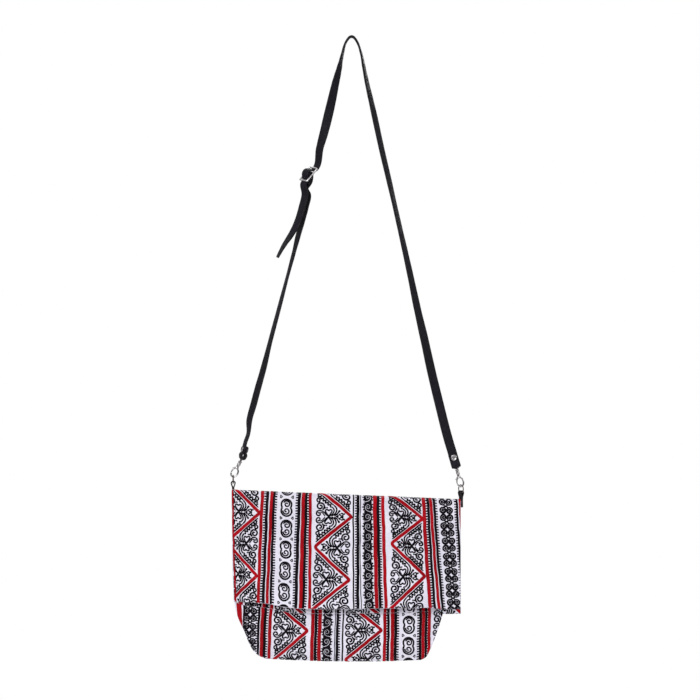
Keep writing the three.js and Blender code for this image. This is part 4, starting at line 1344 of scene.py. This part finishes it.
def weaveGroup():
    # plain weave: threads over and under each other, a little uneven
    inputs = {"Place": None, "Threads": 1500.0, "Unevenness": 0.35}
    tree, given, out = newGroup("weave", inputs, ["Height", "Fleck"])
    across, along, _ = splitNode(tree, given["Place"])
    drift = mathNode(tree, "MULTIPLY", noiseNode(tree, given["Place"], 90.0), given["Unevenness"])
    waves = []
    for direction in (across, along):
        turns = mathNode(tree, "MULTIPLY_ADD", direction, given["Threads"], drift)
        waves.append(mathNode(tree, "SINE", mathNode(tree, "MULTIPLY", turns, 2 * math.pi)))
    crossing = mathNode(tree, "MULTIPLY", waves[0], waves[1])
    tree.links.new(mathNode(tree, "MULTIPLY_ADD", crossing, 0.5, 0.5), out["Height"])
    tree.links.new(noiseNode(tree, given["Place"], 420.0, 2.0), out["Fleck"])
    return tree


def stitchGroup():
    # satin stitches lying across a line, slanted a little
    tree, given, out = newGroup("stitch", {"Place": None, "Pitch": 0.0009, "Slant": 0.4}, ["Height", "ToneAndGrooveShade"])
    across, along, _ = splitNode(tree, given["Place"])
    slanted = mathNode(tree, "MULTIPLY_ADD", across, given["Slant"], along)
    turns = mathNode(tree, "DIVIDE", slanted, given["Pitch"])
    ridge = mathNode(tree, "SINE", mathNode(tree, "MULTIPLY", turns, 2 * math.pi))
    tree.links.new(mathNode(tree, "MULTIPLY_ADD", ridge, 0.5, 0.5), out["Height"])
    strand = noiseNode(tree, given["Place"], 700.0, 2.0)
    # the tone takes painted shade from the ridges: lighter on each stitch's top and darker in the grooves
    # between stitches
    tree.links.new(mathNode(tree, "MULTIPLY_ADD", ridge, 0.12, strand), out["ToneAndGrooveShade"])
    return tree


def mottleGroup():
    # broad and fine unevenness of a dyed, handled or rubbed surface
    tree, given, out = newGroup("mottle", {"Place": None, "Broad": 14.0, "Fine": 160.0}, ["Broad", "Fine"])
    broad = noiseNode(tree, given["Place"], given["Broad"], 3.0)
    fine = noiseNode(tree, given["Place"], given["Fine"], 4.0)
    tree.links.new(rangeNode(tree, broad, 0.3, 0.7), out["Broad"])
    tree.links.new(rangeNode(tree, fine, 0.25, 0.75), out["Fine"])
    return tree


def grainGroup():
    # pebbled leather with fine creases
    tree, given, out = newGroup("grain", {"Place": None, "Size": 900.0}, ["Height", "CreaseShade"])
    cells = tree.nodes.new("ShaderNodeTexVoronoi")
    cells.feature = "DISTANCE_TO_EDGE"
    setInputs(tree, cells, {"Vector": given["Place"], "Scale": given["Size"]})
    pebble = rangeNode(tree, cells.outputs["Distance"], 0.0, 0.28)
    rough = noiseNode(tree, given["Place"], 2600.0, 2.0)
    tree.links.new(mathNode(tree, "MULTIPLY_ADD", rough, 0.25, pebble), out["Height"])
    # this output is painted shade: a darker colour in the grain's creases
    tree.links.new(mathNode(tree, "SUBTRACT", 1.0, pebble), out["CreaseShade"])
    return tree


def edgeGroup():
    # how near a place is to the edge of a strip, broken up by rubbing: the lightening there is partly wear
    # and partly a painted highlight
    tree, given, out = newGroup("edge rub and highlight", {"Place": None, "Half": 0.006, "Reach": 0.0011}, ["Wear"])
    across, along, _ = splitNode(tree, given["Place"])
    inside = mathNode(tree, "SUBTRACT", given["Half"], mathNode(tree, "ABSOLUTE", across))
    near = mathNode(tree, "SUBTRACT", 1.0, mathNode(tree, "DIVIDE", inside, given["Reach"]))
    rubbed = rangeNode(tree, noiseNode(tree, given["Place"], 260.0, 3.0), 0.35, 0.7)
    kept = tree.nodes.new("ShaderNodeClamp")
    tree.links.new(near, kept.inputs["Value"])
    tree.links.new(mathNode(tree, "MULTIPLY", kept.outputs[0], rubbed), out["Wear"])
    return tree


effects = {"weave": weaveGroup(), "stitch": stitchGroup(), "mottle": mottleGroup(), "grain": grainGroup(),
           "edge": edgeGroup()}


def newMaterial(name, **constants):
    material = bpy.data.materials.new(name)
    material.use_nodes = True
    shader = material.node_tree.nodes["Principled BSDF"]
    for socketName, value in constants.items():
        shader.inputs[socketName.replace("_", " ")].default_value = value
    return material, material.node_tree, shader


def effectNode(tree, name, **inputs):
    node = tree.nodes.new("ShaderNodeGroup")
    node.node_tree = effects[name]
    return setInputs(tree, node, inputs).outputs


def uvPlace(tree, name):
    node = tree.nodes.new("ShaderNodeUVMap")
    node.uv_map = name
    return node.outputs["UV"]


def objectPlace(tree):
    return tree.nodes.new("ShaderNodeTexCoord").outputs["Object"]


def blendColours(tree, share, low, high):
    node = tree.nodes.new("ShaderNodeMix")
    node.data_type = "RGBA"
    tree.links.new(share, node.inputs["Factor"])
    for socket, colour in [(node.inputs[6], low), (node.inputs[7], high)]:
        if isinstance(colour, bpy.types.NodeSocket):
            tree.links.new(colour, socket)
        else:
            socket.default_value = (*colour, 1)
    return node.outputs[2]


def addBump(tree, shader, height, distance, strength=1.0):
    bump = setInputs(tree, tree.nodes.new("ShaderNodeBump"), {"Height": height, "Distance": distance,
                                                              "Strength": strength})
    tree.links.new(bump.outputs["Normal"], shader.inputs["Normal"])


clothLook = {
    "threads": 1300.0, "light": (0.80, 0.775, 0.875), "shade": (0.70, 0.675, 0.79),
    "fleck": (0.88, 0.86, 0.93), "depth": 0.00012,
}


def clothMaterial():
    material, tree, shader = newMaterial("printed_cloth", Roughness=0.85, Specular_IOR_Level=0.2,
                                         Sheen_Weight=0.1,
                                         Sheen_Roughness=0.5)
    place = uvPlace(tree, "cloth")
    weave = effectNode(tree, "weave", Place=place, Threads=clothLook["threads"])
    mottle = effectNode(tree, "mottle", Place=place, Broad=16.0, Fine=230.0)
    colour = blendColours(tree, mottle["Broad"], clothLook["shade"], clothLook["light"])
    speck = mathNode(tree, "MULTIPLY", rangeNode(tree, weave["Fleck"], 0.45, 0.75), 0.6)
    colour = blendColours(tree, speck, colour, clothLook["fleck"])
    tree.links.new(colour, shader.inputs["Base Color"])
    height = mathNode(tree, "MULTIPLY_ADD", mottle["Fine"], 0.6, weave["Height"])
    addBump(tree, shader, height, clothLook["depth"])
    return material


threadLooks = {
    "black_thread": {
        "dark": (0.0018, 0.0012, 0.0024), "light": (0.0075, 0.0055, 0.0092), "pitch": 0.0011,
        "depth": 0.0002, "sheen": 0.0, "rough": (0.62, 0.8),
    },
    "white_thread": {
        "dark": (0.60, 0.57, 0.67), "light": (0.80, 0.775, 0.875), "pitch": 0.0011, "depth": 0.00015,
        "sheen": 0.1, "rough": (0.7, 0.85),
    },
    "red_applique": {
        "dark": (0.27, 0.0004, 0.004), "light": (0.47, 0.004, 0.012), "pitch": 0.0013, "depth": 0.00035,
        "sheen": 0.05, "rough": (0.55, 0.72),
    },
}


def threadMaterial(name):
    look = threadLooks[name]
    material, tree, shader = newMaterial(name, Specular_IOR_Level=0.06, Sheen_Weight=look["sheen"])
    place = uvPlace(tree, "thread")
    stitch = effectNode(tree, "stitch", Place=place, Pitch=look["pitch"])
    mottle = effectNode(tree, "mottle", Place=objectPlace(tree), Broad=38.0, Fine=420.0)
    # the stitch tone carries painted shade in the grooves between stitches, besides the strands' own uneven
    # tone
    strandsAndGrooveShade = mathNode(tree, "MULTIPLY", stitch["ToneAndGrooveShade"], 0.9)
    threadToneAndShade = mathNode(tree, "MULTIPLY_ADD", mottle["Broad"], 0.35, strandsAndGrooveShade)
    colour = blendColours(tree, rangeNode(tree, threadToneAndShade, 0.3, 0.95), look["dark"], look["light"])
    tree.links.new(colour, shader.inputs["Base Color"])
    tree.links.new(rangeNode(tree, mottle["Fine"], 0.0, 1.0, *look["rough"]), shader.inputs["Roughness"])
    addBump(tree, shader, stitch["Height"], look["depth"])
    return material


# each look's edge lightening is partly wear and partly a painted highlight along the band's edges
leatherLooks = {
    "strap_leather": {
        "half": 0.006, "dark": (0.0034, 0.0028, 0.0062), "light": (0.0078, 0.0062, 0.0145), "wearAndHighlight": 0.25,
        "grain": 1000.0, "rough": (0.42, 0.62),
    },
    "tab_leather": {
        "half": 0.003, "dark": (0.0045, 0.003, 0.005), "light": (0.012, 0.009, 0.012), "wearAndHighlight": 0.5,
        "grain": 1300.0, "rough": (0.5, 0.7),
    },
}


def leatherMaterial(name):
    look = leatherLooks[name]
    material, tree, shader = newMaterial(name, Specular_IOR_Level=0.17)
    band, place = uvPlace(tree, "band"), objectPlace(tree)
    grain = effectNode(tree, "grain", Place=place, Size=look["grain"])
    mottle = effectNode(tree, "mottle", Place=place, Broad=22.0, Fine=210.0)
    edge = effectNode(tree, "edge", Place=band, Half=look["half"])
    colour = blendColours(tree, mottle["Broad"], look["dark"], look["light"])
    # painted shade: the colour is darkened in the grain's creases
    creaseShade = mathNode(tree, "MULTIPLY", grain["CreaseShade"], 0.5)
    creaseShaded = blendColours(tree, creaseShade, colour, (0.004, 0.003, 0.005))
    # lighter colour along the band's edges: partly rubbed wear, partly a painted highlight
    wearAndHighlight = mathNode(tree, "MULTIPLY", edge["Wear"], look["wearAndHighlight"])
    wornAndHighlit = blendColours(tree, wearAndHighlight, creaseShaded, (0.075, 0.062, 0.062))
    tree.links.new(wornAndHighlit, shader.inputs["Base Color"])
    tree.links.new(rangeNode(tree, mottle["Fine"], 0.0, 1.0, *look["rough"]), shader.inputs["Roughness"])
    addBump(tree, shader, grain["Height"], 0.00016)
    return material


metalLooks = {
    "nickel": {
        "bright": (0.56, 0.54, 0.55), "dull": (0.17, 0.16, 0.165), "rough": (0.14, 0.32), "depth": 0.00003,
    },
    "slider_metal": {
        "bright": (0.85, 0.83, 0.84), "dull": (0.55, 0.53, 0.54), "rough": (0.14, 0.3), "depth": 0.00003,
    },
    "dark_wire": {
        "bright": (0.16, 0.13, 0.12), "dull": (0.05, 0.04, 0.04), "rough": (0.26, 0.46), "depth": 0.00004,
    },
}


def metalMaterial(name):
    look = metalLooks[name]
    material, tree, shader = newMaterial(name, Metallic=1.0)
    mottle = effectNode(tree, "mottle", Place=objectPlace(tree), Broad=130.0, Fine=900.0)
    colour = blendColours(tree, mottle["Broad"], look["bright"], look["dull"])
    tree.links.new(colour, shader.inputs["Base Color"])
    tree.links.new(rangeNode(tree, mottle["Fine"], 0.0, 1.0, *look["rough"]), shader.inputs["Roughness"])
    addBump(tree, shader, mottle["Fine"], look["depth"])
    return material


clothFinish = clothMaterial()
threadFinishes = {"black": threadMaterial("black_thread"), "white": threadMaterial("white_thread"),
                  "red": threadMaterial("red_applique")}
strapLeather, tabLeather = leatherMaterial("strap_leather"), leatherMaterial("tab_leather")
nickelFinish, sliderFinish, wireFinish = [metalMaterial(name) for name in metalLooks]
print("bag: finishes made")

backCloth = clothPanel("back_cloth", True, clothFinish)
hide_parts("back_panel")
frontCloth = clothPanel("front_cloth", False, clothFinish)
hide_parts("front_panel")
print("bag: cloth made")

# How far down the inner layer's drawings start and end, and where those on the flap stop short of its hem
innerSpans = {"body": (590, 816), "underside": (590, 754), "strip": (712, 754)}
hemLimit = 3 - 0.2 / bagSizes["flapLength"]
layDrawings("flap_and_back", outerDrawings(), outerShares, True, (0.002, hemLimit))
layDrawings("body", bodyDrawings(0, *innerSpans["body"]), bodyShares, False, (0.002, 0.98), endsFrom=0.6)
stripLift = patternSizes["stripLift"]
undersideDrawings = bodyDrawings(stripLift, *innerSpans["underside"])
layDrawings("underside", undersideDrawings, stripShares, False, (2.02, hemLimit), endsFrom=2)
stripDrawings = bodyDrawings(stripLift, *innerSpans["strip"])
layDrawings("strip", stripDrawings, stripShares, False, (2.8, hemLimit), True)
print("bag: pattern made")

strapPieces(strapLeather)
for end in ends:
    swivelEye(end, nickelFinish)
    hookBody(end, nickelFinish)
    hookLever(end, nickelFinish)
    wireRing(end, wireFinish)
    tabLoop(end, tabLeather)
    capRivet(end, nickelFinish)
sliderPiece(sliderFinish)
print("bag: strap and hardware made")


# Floor, light and camera
view = {
    "aim": (-0.0021, 0, -0.406), "distance": 3.0, "acrossMetres": 0.91, "sensor": 36,
    "lampAim": (0, 0, -0.55),
}
room = {"floorDown": -1.0, "floorHalf": 0.84, "ceiling": 0.86, "wall": 0.42, "below": 0.16, "strength": 0.86}
lamps = table(
    "name place size power",
    ("key_light", (-1.3, -2.3, 1.0), 1.5, 52.0),
    ("side_light", (2.2, -0.9, 0.1), 0.9, 12.0),
    ("back_light", (0.6, 2.4, 0.9), 1.5, 30.0),
)

cameraData = bpy.data.cameras.new("camera")
cameraData.sensor_width = view["sensor"]
cameraData.lens = view["sensor"] * view["distance"] / view["acrossMetres"]
camera = bpy.data.objects.new("camera", cameraData)
camera.location = Vector(view["aim"]) + Vector((0, -view["distance"], 0))
camera.rotation_euler = (math.pi / 2, 0, 0)
bpy.context.scene.collection.objects.link(camera)
bpy.context.scene.camera = camera
bpy.context.scene.view_settings.view_transform = "Standard"

for lamp in lamps:
    lampData = bpy.data.lights.new(lamp["name"], "AREA")
    lampData.size = lamp["size"]
    lampData.energy = lamp["power"]
    lampObject = bpy.data.objects.new(lamp["name"], lampData)
    lampObject.location = lamp["place"]
    towards = Vector(view["lampAim"]) - Vector(lamp["place"])
    lampObject.rotation_euler = towards.to_track_quat("-Z", "Y").to_euler()
    lampObject.visible_camera = False
    bpy.context.scene.collection.objects.link(lampObject)

# The camera sees plain white, and the bag is lit by a softer room, bright above and dim below
world = bpy.data.worlds.new("room")
bpy.context.scene.world = world
world.use_nodes = True
worldTree = world.node_tree
roomShade = worldTree.nodes["Background"]
direction = splitNode(worldTree, worldTree.nodes.new("ShaderNodeTexCoord").outputs["Generated"])
upper = rangeNode(worldTree, direction[2], 0.1, 0.75, room["wall"], room["ceiling"])
lower = rangeNode(worldTree, direction[2], -0.7, 0.0, room["below"] - room["wall"], 0.0)
brightness = mathNode(worldTree, "ADD", upper, lower)
worldTree.links.new(brightness, roomShade.inputs["Color"])
roomShade.inputs["Strength"].default_value = room["strength"]
whiteShade = worldTree.nodes.new("ShaderNodeBackground")
whiteShade.inputs["Color"].default_value = (1, 1, 1, 1)
seen = worldTree.nodes.new("ShaderNodeMixShader")
worldTree.links.new(worldTree.nodes.new("ShaderNodeLightPath").outputs["Is Camera Ray"], seen.inputs[0])
worldTree.links.new(roomShade.outputs[0], seen.inputs[1])
worldTree.links.new(whiteShade.outputs[0], seen.inputs[2])
worldTree.links.new(seen.outputs[0], worldTree.nodes["World Output"].inputs["Surface"])

floorMaterial, floorTree, floorShader = newMaterial("pale_floor", Roughness=0.8)
floorMottle = effectNode(floorTree, "mottle", Place=objectPlace(floorTree), Broad=3.0, Fine=60.0)
floorTree.links.new(blendColours(floorTree, floorMottle["Broad"], (0.93, 0.93, 0.94), (0.97, 0.97, 0.97)),
                    floorShader.inputs["Base Color"])
half, down = room["floorHalf"], room["floorDown"]
floorMesh = bpy.data.meshes.new("floor")
floorCorners = [(-half, -half, down), (half, -half, down), (half, half, down), (-half, half, down)]
floorMesh.from_pydata(floorCorners, [], [(0, 1, 2, 3)])
floorMesh.materials.append(floorMaterial)
floor = bpy.data.objects.new("floor", floorMesh)
bpy.context.scene.collection.objects.link(floor)
print("bag: room made")

print("bag: finished")
